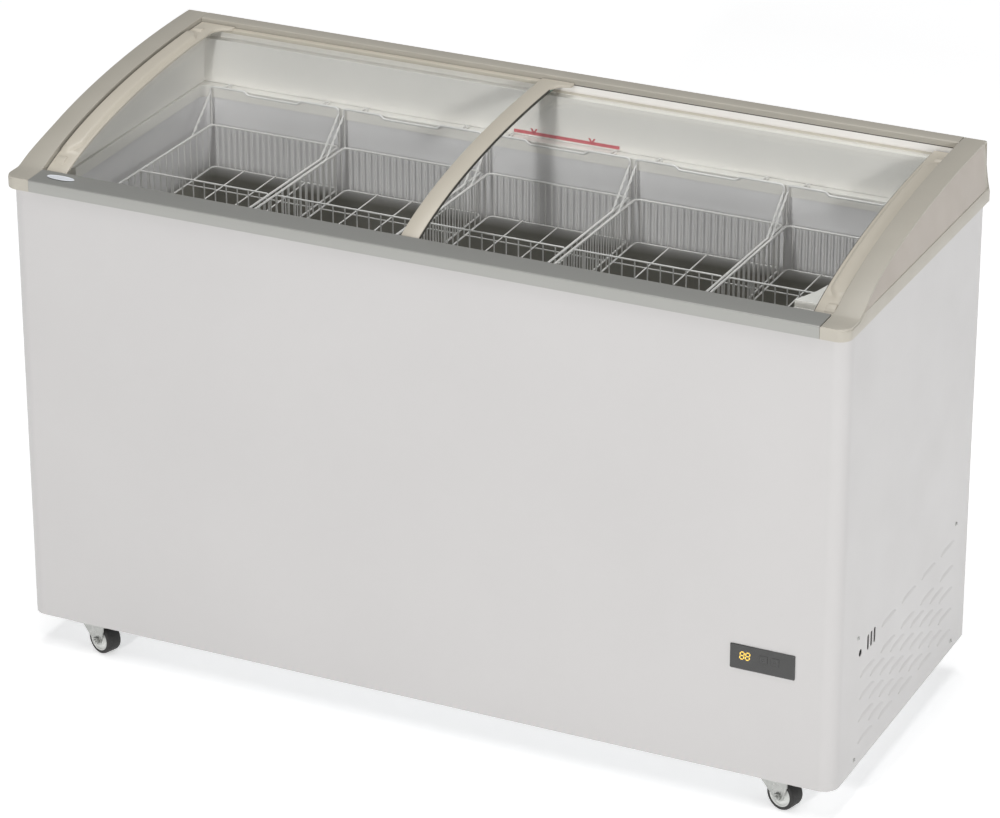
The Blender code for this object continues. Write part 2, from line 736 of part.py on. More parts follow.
def make_baskets():
    first = make_basket_mesh()
    bake(first)
    half = BASKET_W / 2
    inset = BASKET_WALL + GAP
    low, high = BASKET_Z
    y = (DIVIDER_Y - DIVIDER_SHEET / 2, DIVIDER_Y + DIVIDER_SHEET / 2)
    x = (-half + inset, half - inset)
    divider = box("basket_divider_1", x, y, (low + inset, high - 0.001), "white_wire")
    for number, edge in enumerate(BASKET_LEFT_EDGES, start=1):
        for item, stem in ((first, "basket_"), (divider, "basket_divider_")):
            piece = item
            if number > 1:
                piece = bpy.data.objects.new(f"{stem}{number}", item.data)
                PARTS.objects.link(piece)
            piece.location.x = edge + half


def make_front_basket_rail():
    """Angle strip on the tub's front wall that carries the front hooks."""
    wall = TUB_FRONT + GAP
    low, high = BASKET_RAIL_Z
    sheet = BASKET_RAIL_SHEET
    outline = [
        (wall, low), (wall, high), (BASKET_RAIL_Y, high), (BASKET_RAIL_Y, high - sheet),
        (wall + sheet, high - sheet), (wall + sheet, low),
    ]
    x = (-BASKET_RAIL_HALF_W, BASKET_RAIL_HALF_W)
    prism("front_basket_rail", outline, "x", *x, "zinc")


# ---------------------------------------------------------------- castors

def castor_fork(name):
    """Bent fork with its axle holes, about the swivel axis."""
    half = WHEEL_W / 2 + FORK_CLEARANCE
    back, front = FORK_X
    axle = CASTOR_TRAIL
    under, top = CROWN_Z
    shoulder = CHEEK_SHOULDER_Z
    fork = box(name, FORK_X, (-half, half), CROWN_Z, "zinc")
    outline = [
        (back, top), (back, shoulder), (axle - 0.009, WHEEL_R - 0.004),
        (axle - 0.004, WHEEL_R - 0.008), (axle + 0.004, WHEEL_R - 0.008),
        (axle + 0.009, WHEEL_R - 0.003), (front, shoulder), (front, top),
    ]
    for i, (low, high) in enumerate(((-half, -half + FORK_SHEET), (half - FORK_SHEET, half))):
        join(fork, prism(f"{name}_cheek_{i}", outline, "y", low, high, cutter=True))
    middle = (under + top) / 2
    join(fork, cylinder(f"{name}_race", RACE_R, "z", (0, 0), middle, RACE_TOP, cutter=True))
    hole = cylinder(
        f"{name}_hole", AXLE_R + 0.0003, "y", (axle, WHEEL_R), *CUT_Y, cutter=True, segments=16
    )
    cut(fork, hole)
    return fork


def castor_wheel(name):
    """Tyre and hub turned as one, centred on the axle."""
    half = WHEEL_W / 2
    bore, hub, dish = AXLE_R + GAP, 0.0105, 0.0022
    rim, shoulder = 0.0185, WHEEL_R - 0.0015
    side = [
        (bore, half), (hub, half), (hub + 0.001, half - dish), (rim, half - dish),
        (rim + 0.0005, half - 0.0006), (shoulder, half - 0.0006), (WHEEL_R, half - 0.003),
    ]
    profile = side + [(radius, -z) for radius, z in reversed(side)] + [side[0]]
    return turned(name, profile, "tyre")


def castor_axle(name):
    """Bolt through fork and wheel, with its head and nut outside the fork."""
    end = WHEEL_W / 2 + FORK_CLEARANCE + GAP
    head, nut, tall, tail = 0.0060, 0.0058, 0.0035, 0.0065
    profile = [
        (0.0, end + tall), (head - 0.0005, end + tall), (head, end + 0.8 * tall), (head, end),
        (AXLE_R, end), (AXLE_R, -end), (nut, -end), (nut, -end - tall),
        (AXLE_R - 0.0002, -end - tall), (AXLE_R - GAP, -end - tail), (0.0, -end - tail),
    ]
    return turned(name, profile, "zinc", segments=12)


def make_castors():
    """Each castor hangs from an empty on its swivel axis, turned to its own heading."""
    for corner, (x, y, heading) in CASTORS.items():
        pivot = bpy.data.objects.new(f"{corner}_pivot", None)
        PARTS.objects.link(pivot)
        pivot.location = (x, y, 0.0)
        pivot.rotation_euler.z = math.radians(-heading)
        square = (-CASTOR_PLATE_HALF, CASTOR_PLATE_HALF)
        plate_z = (CASTOR_PLATE_BOTTOM, CABINET_BOTTOM - GAP)
        plate = box(f"{corner}_castor_plate", square, square, plate_z, "zinc")
        plate.location = (x, y, 0.0)
        fork = castor_fork(f"{corner}_fork")
        wheel = castor_wheel(f"{corner}_wheel")
        axle = castor_axle(f"{corner}_axle")
        for cutter in [m.object for m in fork.modifiers]:
            cutter.parent = pivot
        for item in (wheel, axle):
            item.location = (CASTOR_TRAIL, 0.0, WHEEL_R)
            item.rotation_euler.x = math.pi / 2
        for item in (fork, wheel, axle):
            item.parent = pivot


# ---------------------------------------------------------------- compressor compartment

def make_compressor():
    """Domed can on a plate with four rubber feet."""
    x, y = COMPRESSOR_X, COMPRESSOR_Y
    base = CABINET_BOTTOM + SHEET
    profile = [
        (0.0, 0.118), (0.030, 0.115), (0.055, 0.104), (0.070, 0.086), (0.075, 0.062),
        (0.077, 0.060), (0.077, 0.052), (0.075, 0.050), (0.072, 0.020), (0.058, 0.004),
        (0.030, -0.004), (0.0, -0.005),
    ]
    can = turned("compressor", profile, "black_metal", segments=32)
    can.location = (x, y, base + COMPRESSOR_LIFT)
    half_x, half_y = COMPRESSOR_PLATE_HALF
    low, high = COMPRESSOR_PLATE_Z
    plate = box(
        "compressor_plate", (x - half_x, x + half_x), (y - half_y, y + half_y),
        (base + low, base + high), cutter=True,
    )
    join(can, plate)
    foot_x, foot_y = COMPRESSOR_FEET
    foot_top = base + (low + high) / 2
    for i, (dx, dy) in enumerate(((-1, -1), (1, -1), (1, 1), (-1, 1))):
        foot = cylinder(
            f"compressor_foot_{i}", COMPRESSOR_FOOT_R, "z", (x + dx * foot_x, y + dy * foot_y),
            base + GAP, foot_top, cutter=True, segments=12,
        )
        join(can, foot)


def make_condenser():
    """Finned block behind the louvres."""
    x0, x1 = CONDENSER_X
    web = x0 + CONDENSER_WEB
    outline = [(x0, CONDENSER_FRONT)]
    for i in range(FIN_COUNT):
        y = CONDENSER_FRONT + i * FIN_PITCH
        outline += [(x1, y), (x1, y + FIN)]
        if i < FIN_COUNT - 1:
            outline += [(web, y + FIN), (web, y + FIN_PITCH)]
    outline.append((x0, CONDENSER_FRONT + (FIN_COUNT - 1) * FIN_PITCH + FIN))
    low = CABINET_BOTTOM + SHEET + GAP
    prism("condenser", outline, "z", low, CONDENSER_TOP, "aluminium")


def make_fan():
    """Motor on a leg, a five-vane fan on its shaft, and the shroud round the fan."""
    low = CABINET_BOTTOM + SHEET + GAP
    shroud = box("fan_shroud", SHROUD_X, SHROUD_Y, (low, SHROUD_TOP), "galvanised")
    x, y, z = FAN_AT
    hole_r = FAN_R + 0.005
    reach = (x, x + 0.1)
    cut(shroud, cylinder("shroud_hole", hole_r, "x", (y, z), *reach, cutter=True, segments=36))
    motor = cylinder("fan_motor", MOTOR_R, "x", (y, z), *MOTOR_X, "black_metal")
    shaft_x = (MOTOR_X[1] - SHAFT_R, SHAFT_END_X)
    join(motor, cylinder("motor_shaft", SHAFT_R, "x", (y, z), *shaft_x, cutter=True))
    leg_y = (y - MOTOR_LEG_HALF, y + MOTOR_LEG_HALF)
    join(motor, box("motor_leg", MOTOR_LEG_X, leg_y, (low, z), cutter=True))
    hub_x = (HUB_X[0] - x, HUB_X[1] - x)
    blade = cylinder("fan_blade", HUB_R, "x", (0, 0), *hub_x, "grey_plastic")
    blade.location = FAN_AT
    thick, wide, tip = VANE
    for i in range(VANE_COUNT):
        vane = box(
            f"vane_{i}", (-thick / 2, thick / 2), (-wide / 2, wide / 2), (VANE_ROOT, tip),
            cutter=True,
        )
        twist = Matrix.Rotation(math.radians(VANE_TWIST), 4, "Z")
        turn = Matrix.Rotation(2 * math.pi * i / VANE_COUNT, 4, "X")
        vane.data.transform(turn @ Matrix.Translation((sum(hub_x) / 2, 0, 0)) @ twist)
        vane.location = blade.location
        join(blade, vane)
    bore_x = (MOTOR_X[0], SHAFT_END_X + 0.0005)
    cut(blade, cylinder("hub_bore", SHAFT_R + GAP, "x", (y, z), *bore_x, cutter=True))


def make_filter_drier():
    profile = [
        (0.0, 0.085), (0.003, 0.085), (0.003, 0.045), (0.0115, 0.038), (0.0115, -0.038),
        (0.003, -0.045), (0.003, -0.085), (0.0, -0.085),
    ]
    drier = turned("filter_drier", profile, "copper", segments=16)
    drier.location = DRIER_AT
    drier.rotation_euler.x = math.radians(DRIER_TILT)


# ---------------------------------------------------------------- controls and services

def make_control_panel():
    """Gloss bezel let into the front, with two keys and the controller behind it."""
    face = CABINET_FRONT - BEZEL_PROUD
    inset = PANEL_LIP
    bezel = box("display_bezel", PANEL_X, (face, CABINET_FRONT - GAP), PANEL_Z, "black_gloss")
    body_x = (PANEL_X[0] + inset, PANEL_X[1] - inset)
    body_z = (PANEL_Z[0] + inset, PANEL_Z[1] - inset)
    back = CABINET_FRONT + BEZEL_DEPTH
    body = box("bezel_body", body_x, (face + BEZEL_PROUD / 2, back), body_z, cutter=True)
    join(bezel, body)
    pocket_half = KEY_SIZE / 2 + GAP
    key_half = KEY_SIZE / 2
    for name, x in KEY_X.items():
        wide, tall = (x - pocket_half, x + pocket_half), (KEY_Z - pocket_half, KEY_Z + pocket_half)
        pocket_y = (face - CUT_SKIN, face + KEY_POCKET_DEPTH)
        cut(bezel, box(name + "_pocket", wide, pocket_y, tall, cutter=True))
        wide, tall = (x - key_half, x + key_half), (KEY_Z - key_half, KEY_Z + key_half)
        box(name, wide, (face - KEY_PROUD, face + KEY_DEPTH), tall, "black_gloss")
    room_x = (PANEL_X[0] + 2 * inset, PANEL_X[1] - 2 * inset)
    room_y = (back + GAP, back + GAP + CONTROLLER_DEPTH)
    box("controller_box", room_x, room_y, CONTROLLER_Z, "black_plastic")


def make_power_inlet():
    """Gland where the mains lead enters the compressor compartment."""
    profile = [
        (0.0, 0.014), (0.0075, 0.014), (0.0095, 0.010), (0.0110, 0.0045), (0.0150, 0.0040),
        (0.0150, 0.0), (0.0, 0.0),
    ]
    inlet = turned("power_inlet", profile, "black_plastic", segments=24)
    inlet.location = (INLET_AT[0], CABINET_REAR + GAP, INLET_AT[1])
    inlet.rotation_euler.x = -math.pi / 2


def make_drain():
    """Spout in the rear panel and the cap that pushes over it."""
    spout = turned(
        "drain_spout",
        [(0.0065, 0.010), (0.0085, 0.010), (0.0085, 0.002), (0.0130, 0.002), (0.0130, 0.0),
         (0.0065, 0.0), (0.0065, 0.010)],
        "grey_plastic", segments=24,
    )
    cap = turned(
        "drain_cap",
        [(0.0, 0.0150), (0.0120, 0.0150), (0.0130, 0.0140), (0.0130, 0.0026), (0.0089, 0.0026),
         (0.0089, 0.0110), (0.0, 0.0110)],
        "grey_plastic", segments=24,
    )
    for item in (spout, cap):
        item.location = (DRAIN_AT[0], CABINET_REAR + GAP, DRAIN_AT[1])
        item.rotation_euler.x = -math.pi / 2


make_cabinet_wrap()
make_rear_panel()
make_floor_plates()
make_insulation_and_tub()
make_evaporator()
make_throat_frame()
make_front_rail()
make_front_track()
make_rear_rail()
make_end_frame("left_end_frame", -1)
make_end_frame("right_end_frame", 1)
make_badge()
make_lids()
make_baskets()
make_front_basket_rail()
make_castors()
make_compressor()
make_condenser()
make_fan()
make_filter_drier()
make_control_panel()
make_power_inlet()
make_drain()
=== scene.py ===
"""Looks of the chest freezer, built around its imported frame.

Metres, +Z up, the front towards -Y, the machine compartment at +X. Every piece keeps its object at
the origin unless its function says otherwise, so object coordinates are the freezer's own.
"""

import json
import math

import bmesh
import bpy
from mathutils import Matrix, Vector


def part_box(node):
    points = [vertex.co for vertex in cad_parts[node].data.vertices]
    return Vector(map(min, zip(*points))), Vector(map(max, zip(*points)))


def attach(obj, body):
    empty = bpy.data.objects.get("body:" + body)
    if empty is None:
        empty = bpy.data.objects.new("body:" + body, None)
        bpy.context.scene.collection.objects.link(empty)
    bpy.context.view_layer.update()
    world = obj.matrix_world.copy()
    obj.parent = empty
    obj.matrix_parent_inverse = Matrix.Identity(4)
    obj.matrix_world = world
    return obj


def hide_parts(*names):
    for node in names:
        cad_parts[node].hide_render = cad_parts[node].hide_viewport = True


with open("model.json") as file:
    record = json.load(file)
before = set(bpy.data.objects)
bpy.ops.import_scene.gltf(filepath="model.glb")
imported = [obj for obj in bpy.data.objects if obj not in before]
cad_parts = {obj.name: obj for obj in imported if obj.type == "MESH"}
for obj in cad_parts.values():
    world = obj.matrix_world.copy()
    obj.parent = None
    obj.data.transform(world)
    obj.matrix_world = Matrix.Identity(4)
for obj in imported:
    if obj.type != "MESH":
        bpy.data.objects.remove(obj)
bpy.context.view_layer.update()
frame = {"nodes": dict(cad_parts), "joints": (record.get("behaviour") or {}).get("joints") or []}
NODES = frame["nodes"]
JOINTS = {joint["name"]: joint for joint in frame["joints"]}


# ---------------- dimensions, from the frame

CABINET_LOW, CABINET_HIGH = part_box("cabinet_wrap")
HALF_W = CABINET_HIGH.x
FRONT = CABINET_LOW.y
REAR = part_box("rear_panel")[1].y
BOTTOM = CABINET_LOW.z
CORNER_R = 0.026
SHEET = 0.0012

RAIL_LOW, RAIL_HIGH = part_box("front_rail")
FRAME_LOW, FRAME_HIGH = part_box("right_end_frame")
FRAME_HALF_W = FRAME_HIGH.x
REAR_RAIL_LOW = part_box("rear_rail")[0]
RAIL_SEAM_X = RAIL_HIGH.x
SKIRT_TOP = 0.826
SKIRT_R = 0.020
END_TOP_OUTER_X = 0.6945
END_TOP_INNER_X = 0.6575
REAR_TOP_Y = 0.2895
REAR_FOOT_Y = 0.2965
REAR_WALL_Y = 0.2646
THROAT_LOW_Y, THROAT_HIGH_Y, THROAT_TOP_Z = 0.2450, 0.2500, 0.8755
THROAT_RISE = 0.0733
REAR_SEAM_Z = 0.8925

# The end frames and the lids follow one ellipse in the Y-Z plane.
CURVE_Y, CURVE_Z, CURVE_A, CURVE_B = 0.2916, 0.7542, 0.6067, 0.1503
CURVE_START = -0.250
UPPER_DEPTH, LOWER_DEPTH = 0.011, 0.023
GLASS = 0.004
STRIP = 0.0037

BASKET_LOW, BASKET_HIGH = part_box("basket_1")
BASKET_FRONT, BASKET_REAR = -0.2145, 0.2225
DIVIDER_Y = sum(corner.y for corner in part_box("basket_divider_1")) / 2


# ---------------- materials

def tone(red, green, blue):
    """Linear colour of a screen colour given as 0 to 255."""
    values = [c / 255 for c in (red, green, blue)]
    return [c / 12.92 if c <= 0.04045 else ((c + 0.055) / 1.055) ** 2.4 for c in values] + [1.0]


def put(node, **values):
    """Set input sockets by name, with _ for each space."""
    for key, value in values.items():
        node.inputs[key.replace("_", " ")].default_value = value


class Shader:
    """A node material with short names for what the finishes below share."""

    def __init__(self, name):
        self.material = bpy.data.materials.new(name)
        self.material.use_nodes = True
        self.nodes = self.material.node_tree.nodes
        self.links = self.material.node_tree.links
        self.bsdf = self.nodes["Principled BSDF"]
        self.output = self.nodes["Material Output"]
        self.place = self.nodes.new("ShaderNodeTexCoord").outputs["Object"]

    def add(self, kind, **values):
        node = self.nodes.new(kind)
        for key, value in values.items():
            setattr(node, key, value)
        return node

    def link(self, source, target):
        self.links.new(source, target)

    def stretched(self, stretch):
        mapping = self.add("ShaderNodeMapping")
        put(mapping, Scale=stretch)
        self.link(self.place, mapping.inputs["Vector"])
        return mapping.outputs["Vector"]

    def noise(self, scale, detail=3.0, stretch=(1, 1, 1)):
        node = self.add("ShaderNodeTexNoise")
        put(node, Scale=scale, Detail=detail)
        self.link(self.stretched(stretch), node.inputs["Vector"])
        return node.outputs["Fac"]

    def ramp(self, factor, low, high, start=0.35, end=0.65):
        node = self.add("ShaderNodeValToRGB")
        for stop, position, colour in zip(node.color_ramp.elements, (start, end), (low, high)):
            stop.position = position
            stop.color = colour
        self.link(factor, node.inputs["Fac"])
        return node.outputs["Color"]

    def spread(self, factor, low, high):
        node = self.add("ShaderNodeMapRange")
        put(node, From_Min=0.3, From_Max=0.7, To_Min=low, To_Max=high)
        self.link(factor, node.inputs["Value"])
        return node.outputs["Result"]

    def height(self, factor, strength, distance):
        bump = self.add("ShaderNodeBump")
        put(bump, Strength=strength, Distance=distance)
        self.link(factor, bump.inputs["Height"])
        self.link(bump.outputs["Normal"], self.bsdf.inputs["Normal"])


def finish(name, colour, rough, metal=0.0, vary=0.03, patch=5.0, grain=900.0, depth=0.00004,
           strength=0.25, coat=0.0, stretch=(1, 1, 1), rough_vary=0.05):
    """Screen colour and roughness mottled at one scale, with a fine surface grain at another."""
    shader = Shader(name)
    cloud = shader.noise(patch, 4.0, stretch)
    middle = tone(*colour)[:3]
    low = [c * (1 - vary) for c in middle] + [1.0]
    high = [min(c * (1 + vary), 1.0) for c in middle] + [1.0]
    shader.link(shader.ramp(cloud, low, high), shader.bsdf.inputs["Base Color"])
    shader.link(
        shader.spread(shader.noise(patch * 3, 2.0, stretch), rough - rough_vary, rough + rough_vary),
        shader.bsdf.inputs["Roughness"],
    )
    put(shader.bsdf, Metallic=metal, Coat_Weight=coat, Coat_Roughness=0.12)
    shader.height(shader.noise(grain, 2.0, stretch), strength, depth)
    return shader.material


def liner_finish():
    """Embossed aluminium tub: pale above, and darker below the baskets, where painted shade stands for the
    shadow that falls there.
    """
    shader = Shader("tub_liner")
    split = shader.add("ShaderNodeSeparateXYZ")
    shader.link(shader.place, split.inputs["Vector"])
    # Painted shade: the liner's colour turns darker below the baskets, and this range sets where the
    # painted shade begins.
    edge = shader.add("ShaderNodeMapRange")
    put(edge, From_Min=BASKET_LOW.z - 0.022, From_Max=BASKET_LOW.z - 0.002)
    shader.link(split.outputs["Z"], edge.inputs["Value"])
    cloud = shader.noise(7.0, 4.0)
    lower_shade = shader.ramp(cloud, tone(142, 139, 130), tone(158, 155, 147))
    pale_upper = shader.ramp(cloud, tone(229, 227, 228), tone(237, 235, 236))
    mix = shader.add("ShaderNodeMix", data_type="RGBA")
    shader.link(edge.outputs["Result"], mix.inputs["Factor"])
    shader.link(lower_shade, mix.inputs[6])
    shader.link(pale_upper, mix.inputs[7])
    shader.link(mix.outputs[2], shader.bsdf.inputs["Base Color"])
    put(shader.bsdf, Roughness=0.36)
    cells = shader.add("ShaderNodeTexVoronoi")
    put(cells, Scale=170.0)
    shader.link(shader.place, cells.inputs["Vector"])
    shader.height(cells.outputs["Distance"], 0.2, 0.0003)
    return shader.material


def glass_finish():
    """Clear sheet glass: it lets lamp light through and mirrors more at a low angle."""
    shader = Shader("lid_glass")
    shader.nodes.remove(shader.bsdf)
    clear = shader.add("ShaderNodeBsdfTransparent")
    put(clear, Color=(0.972, 0.982, 0.977, 1.0))
    mirror = shader.add("ShaderNodeBsdfGlossy")
    put(mirror, Roughness=0.03)
    facing = shader.add("ShaderNodeLayerWeight")
    put(facing, Blend=0.5)
    steep = shader.add("ShaderNodeMath", operation="POWER")
    steep.inputs[1].default_value = 5.0
    shader.link(facing.outputs["Facing"], steep.inputs[0])
    share = shader.add("ShaderNodeMath", operation="MULTIPLY_ADD")
    share.inputs[1].default_value = 0.90
    share.inputs[2].default_value = 0.035
    shader.link(steep.outputs[0], share.inputs[0])
    mix = shader.add("ShaderNodeMixShader")
    shader.link(share.outputs[0], mix.inputs["Fac"])
    shader.link(clear.outputs[0], mix.inputs[1])
    shader.link(mirror.outputs[0], mix.inputs[2])
    path = shader.add("ShaderNodeLightPath")
    lit = shader.add("ShaderNodeMixShader")
    shader.link(path.outputs["Is Shadow Ray"], lit.inputs["Fac"])
    shader.link(mix.outputs[0], lit.inputs[1])
    shader.link(shader.add("ShaderNodeBsdfTransparent").outputs[0], lit.inputs[2])
    shader.link(lit.outputs[0], shader.output.inputs["Surface"])
    return shader.material


def lamp_finish(name, colour, strength):
    shader = Shader(name)
    shine = tone(*colour)
    put(shader.bsdf, Base_Color=shine, Emission_Color=shine, Emission_Strength=strength,
        Roughness=0.3)
    return shader.material


def printed_finish(name, colour, rough=0.45):
    """Ink or film on another surface, with a little unevenness."""
    return finish(name, colour, rough, vary=0.05, patch=120.0, grain=1500.0)


MATERIALS = {
    "enamel": finish("white_enamel", (187, 185, 184), 0.34, vary=0.012, patch=3.0, grain=700.0,
        depth=0.00003, strength=0.12, coat=0.25),
    "galvanised": finish("galvanised_sheet", (176, 178, 180), 0.42, metal=0.85, vary=0.10,
        patch=38.0, grain=500.0, rough_vary=0.10),
    "frame": finish("frame_plastic", (173, 168, 157), 0.42, vary=0.018, patch=9.0, grain=1800.0,
        depth=0.00005, strength=0.35),
    "side_insert": finish("side_insert_plastic", (176, 168, 159), 0.50, vary=0.02, patch=9.0,
        grain=1800.0, depth=0.00005, strength=0.4),
    "rail": finish("rail_aluminium", (156, 156, 152), 0.36, metal=0.35, vary=0.03, patch=6.0,
        grain=420.0, depth=0.00003, stretch=(0.02, 1, 1)),
    "strip": finish("strip_plastic", (194, 187, 173), 0.38, vary=0.018, patch=9.0, grain=1800.0,
        depth=0.00005, strength=0.35),
    "throat": finish("throat_plastic", (240, 237, 232), 0.45, vary=0.015, patch=6.0,
        grain=1500.0),
    "liner": liner_finish(),
    "glass": glass_finish(),
    "glass_edge": finish("glass_edge", (96, 128, 116), 0.2, vary=0.05, patch=60.0),
    "seal": finish("seal_rubber", (70, 68, 62), 0.7, vary=0.06, patch=60.0),
    "wire": finish("wire_coating", (232, 230, 228), 0.36, metal=0.1, vary=0.015, patch=30.0,
        strength=0.02),
    "zinc": finish("zinc_plate", (178, 179, 176), 0.33, metal=0.85, vary=0.08, patch=90.0,
        grain=1200.0, rough_vary=0.09),
    "hub": finish("hub_plastic", (206, 207, 204), 0.4, vary=0.03, patch=80.0),
    "tyre": finish("tyre_rubber", (38, 37, 36), 0.62, vary=0.15, patch=140.0, grain=1400.0,
        depth=0.0001, strength=0.5, rough_vary=0.1),
    "black_gloss": finish("black_gloss", (38, 38, 37), 0.16, vary=0.06, patch=70.0,
        grain=1800.0, coat=0.5),
    "black_plastic": finish("black_plastic", (34, 34, 35), 0.55, vary=0.1, patch=60.0,
        grain=1600.0, depth=0.00008, strength=0.5),
    "black_paint": finish("black_paint", (30, 30, 31), 0.4, vary=0.12, patch=25.0),
    "copper": finish("copper_tube", (190, 110, 72), 0.3, metal=0.9, vary=0.12, patch=50.0),
    "foam": finish("rigid_foam", (222, 204, 150), 0.9, vary=0.08, patch=30.0, grain=260.0,
        depth=0.0006, strength=0.6),
    "aluminium": finish("bare_aluminium", (190, 192, 196), 0.38, metal=0.9, vary=0.05,
        patch=40.0),
    "badge": finish("badge_plate", (224, 227, 232), 0.34, vary=0.006, patch=20.0,
        strength=0.1),
    "amber": lamp_finish("amber_segments", (214, 176, 72), 1.1),
    "icon": printed_finish("key_print", (84, 84, 84)),
    "load_line": printed_finish("load_line_film", (206, 108, 114)),
    # Painted shade: near black for the shade in screw recesses and in the openings under the cover's hoods.
    "dark": finish("painted_recess_shade", (30, 29, 28), 0.9, vary=0.1, patch=40.0),
}


# ---------------- mesh tools

def curve_height(y):
    reach = (CURVE_Y - y) / CURVE_A
    return CURVE_Z + CURVE_B * math.sqrt(1.0 - reach * reach)


def soft_max(a, b, blend):
    """Larger of two values, rounded where they cross."""
    return (a + b + math.hypot(a - b, blend)) / 2


def steps(low, high, count):
    return [low + (high - low) * i / count for i in range(count + 1)]


def ease(value):
    """Smooth step from 0 to 1."""
    t = min(max(value, 0.0), 1.0)
    return t * t * (3 - 2 * t)


def mesh_from(name, bm):
    mesh = bpy.data.meshes.new(name)
    bm.to_mesh(mesh)
    bm.free()
    return mesh


def add_object(name, data):
    item = bpy.data.objects.new(name, data)
    bpy.context.scene.collection.objects.link(item)
    return item


def evaluated_mesh(item):
    """Copy of an object's mesh with its modifiers applied, or a curve's surface."""
    graph = bpy.context.evaluated_depsgraph_get()
    return bpy.data.meshes.new_from_object(item.evaluated_get(graph))


def smooth(mesh, sharp=32):
    mesh.shade_smooth()
    mesh.set_sharp_from_angle(angle=math.radians(sharp))


def seat(piece, body, replaces=()):
    """Put a finished object on its body and hide the CAD nodes it stands for."""
    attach(piece, body)
    if replaces:
        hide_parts(*replaces)
    return piece


def make(name, bm, finishes, body, slot, replaces=(), sharp=32, bevel=0.0, at=(0, 0, 0)):
    """Named object from a bmesh, smooth except at sharp edges, riding its body."""
    bmesh.ops.recalc_face_normals(bm, faces=bm.faces)
    mesh = mesh_from(name, bm)
    smooth(mesh, sharp)
    for key in finishes if isinstance(finishes, (list, tuple)) else [finishes]:
        mesh.materials.append(MATERIALS[key])
    piece = add_object(name, mesh)
    piece.location = at
    if bevel:
        soften(piece, bevel)
    return seat(piece, body, replaces)


def soften(piece, width, segments=2):
    """Round an object's edges."""
    rounding = piece.modifiers.new("rounding", "BEVEL")
    rounding.width = width
    rounding.segments = segments
    rounding.limit_method = "ANGLE"
    rounding.angle_limit = math.radians(40)
    rounding.harden_normals = True


def arc_corner(before, point, after, radius, count=4):
    """Arc that rounds off one corner of a path, always of count + 1 points."""
    point = Vector(point)
    a, b = Vector(before) - point, Vector(after) - point
    angle = a.angle(b)
    room = 0.48 * min(a.length, b.length)
    reach = min(radius / math.tan(angle / 2), room)
    if angle > math.pi - 0.001:
        return [point + a.normalized() * reach * (1 - 2 * i / count) for i in range(count + 1)]
    inward = (a.normalized() + b.normalized()).normalized()
    centre = point + inward * (reach / math.cos(angle / 2))
    start, end = point + a.normalized() * reach - centre, point + b.normalized() * reach - centre
    sweep = math.pi - angle
    points = []
    for i in range(count + 1):
        t = sweep * i / count
        near, far = math.sin(sweep - t) / math.sin(sweep), math.sin(t) / math.sin(sweep)
        points.append(centre + start * near + end * far)
    return points


def rounded_outline(corners, count=4):
    """Closed outline from (a, b, radius) corners."""
    points = []
    for i, (a, b, radius) in enumerate(corners):
        before, after = corners[i - 1][:2], corners[(i + 1) % len(corners)][:2]
        if radius > 0:
            points += arc_corner(before, (a, b), after, radius, count)
        else:
            points.append(Vector((a, b)))
    return points


def rounded_box(x0, y0, x1, y1, radius, count=4):
    corners = [(x0, y0), (x1, y0), (x1, y1), (x0, y1)]
    return rounded_outline([(x, y, radius) for x, y in corners], count)


def loft(bm, rings, material=0):
    """Join rings of equal length and cap both ends."""
    made = [[bm.verts.new(point) for point in ring] for ring in rings]
    for near, far in zip(made, made[1:]):
        for i in range(len(near)):
            j = (i + 1) % len(near)
            face = bm.faces.new((near[i], near[j], far[j], far[i]))
            face.material_index = material
    for end in (made[0], made[-1]):
        face = bm.faces.new(end)
        face.material_index = material
    return made


def make_loft(name, rings, *finish_body_slot, **options):
    bm = bmesh.new()
    loft(bm, rings)
    return make(name, bm, *finish_body_slot, **options)


def make_turned(name, profile, matrix, segments, *finish_body_slot, **options):
    bm = bmesh.new()
    turn(bm, profile, matrix, segments)
    return make(name, bm, *finish_body_slot, **options)


def circle(x, y, radius_x, radius_y, count, start=0.0):
    """Points round an ellipse, without the last one that would close it."""
    return [(x + radius_x * math.cos(a), y + radius_y * math.sin(a))
            for a in steps(start, start + 2 * math.pi, count)[:-1]]


def extrude(bm, outline, axis, low, high, material=0):
    """Prism over a flat outline, whose points hold the other two axes in X, Y, Z order."""
    order = {"x": (2, 0, 1), "y": (0, 2, 1), "z": (0, 1, 2)}[axis]
    rings = [[[(a, b, level)[i] for i in order] for a, b in outline] for level in (low, high)]
    return loft(bm, rings, material)


def block(bm, x, y, z, material=0):
    outline = [(x[0], y[0]), (x[1], y[0]), (x[1], y[1]), (x[0], y[1])]
    return extrude(bm, outline, "z", z[0], z[1], material)


def turn(bm, profile, matrix, segments=48, material=0):
    """Solid of revolution about local Z from (radius, z) points, open or closed at the axis."""
    rings = []
    for radius, z in profile:
        ring = []
        for i in range(segments if radius > 1e-7 else 1):
            angle = 2 * math.pi * i / segments
            point = Vector((radius * math.cos(angle), radius * math.sin(angle), z))
            ring.append(bm.verts.new(matrix @ point))
        rings.append(ring)
    for near, far in zip(rings, rings[1:]):
        for i in range(segments):
            j = (i + 1) % segments
            corners = [near[i % len(near)], near[j % len(near)], far[j % len(far)], far[i % len(far)]]
            unique = list(dict.fromkeys(corners))
            if len(unique) > 2:
                bm.faces.new(unique).material_index = material


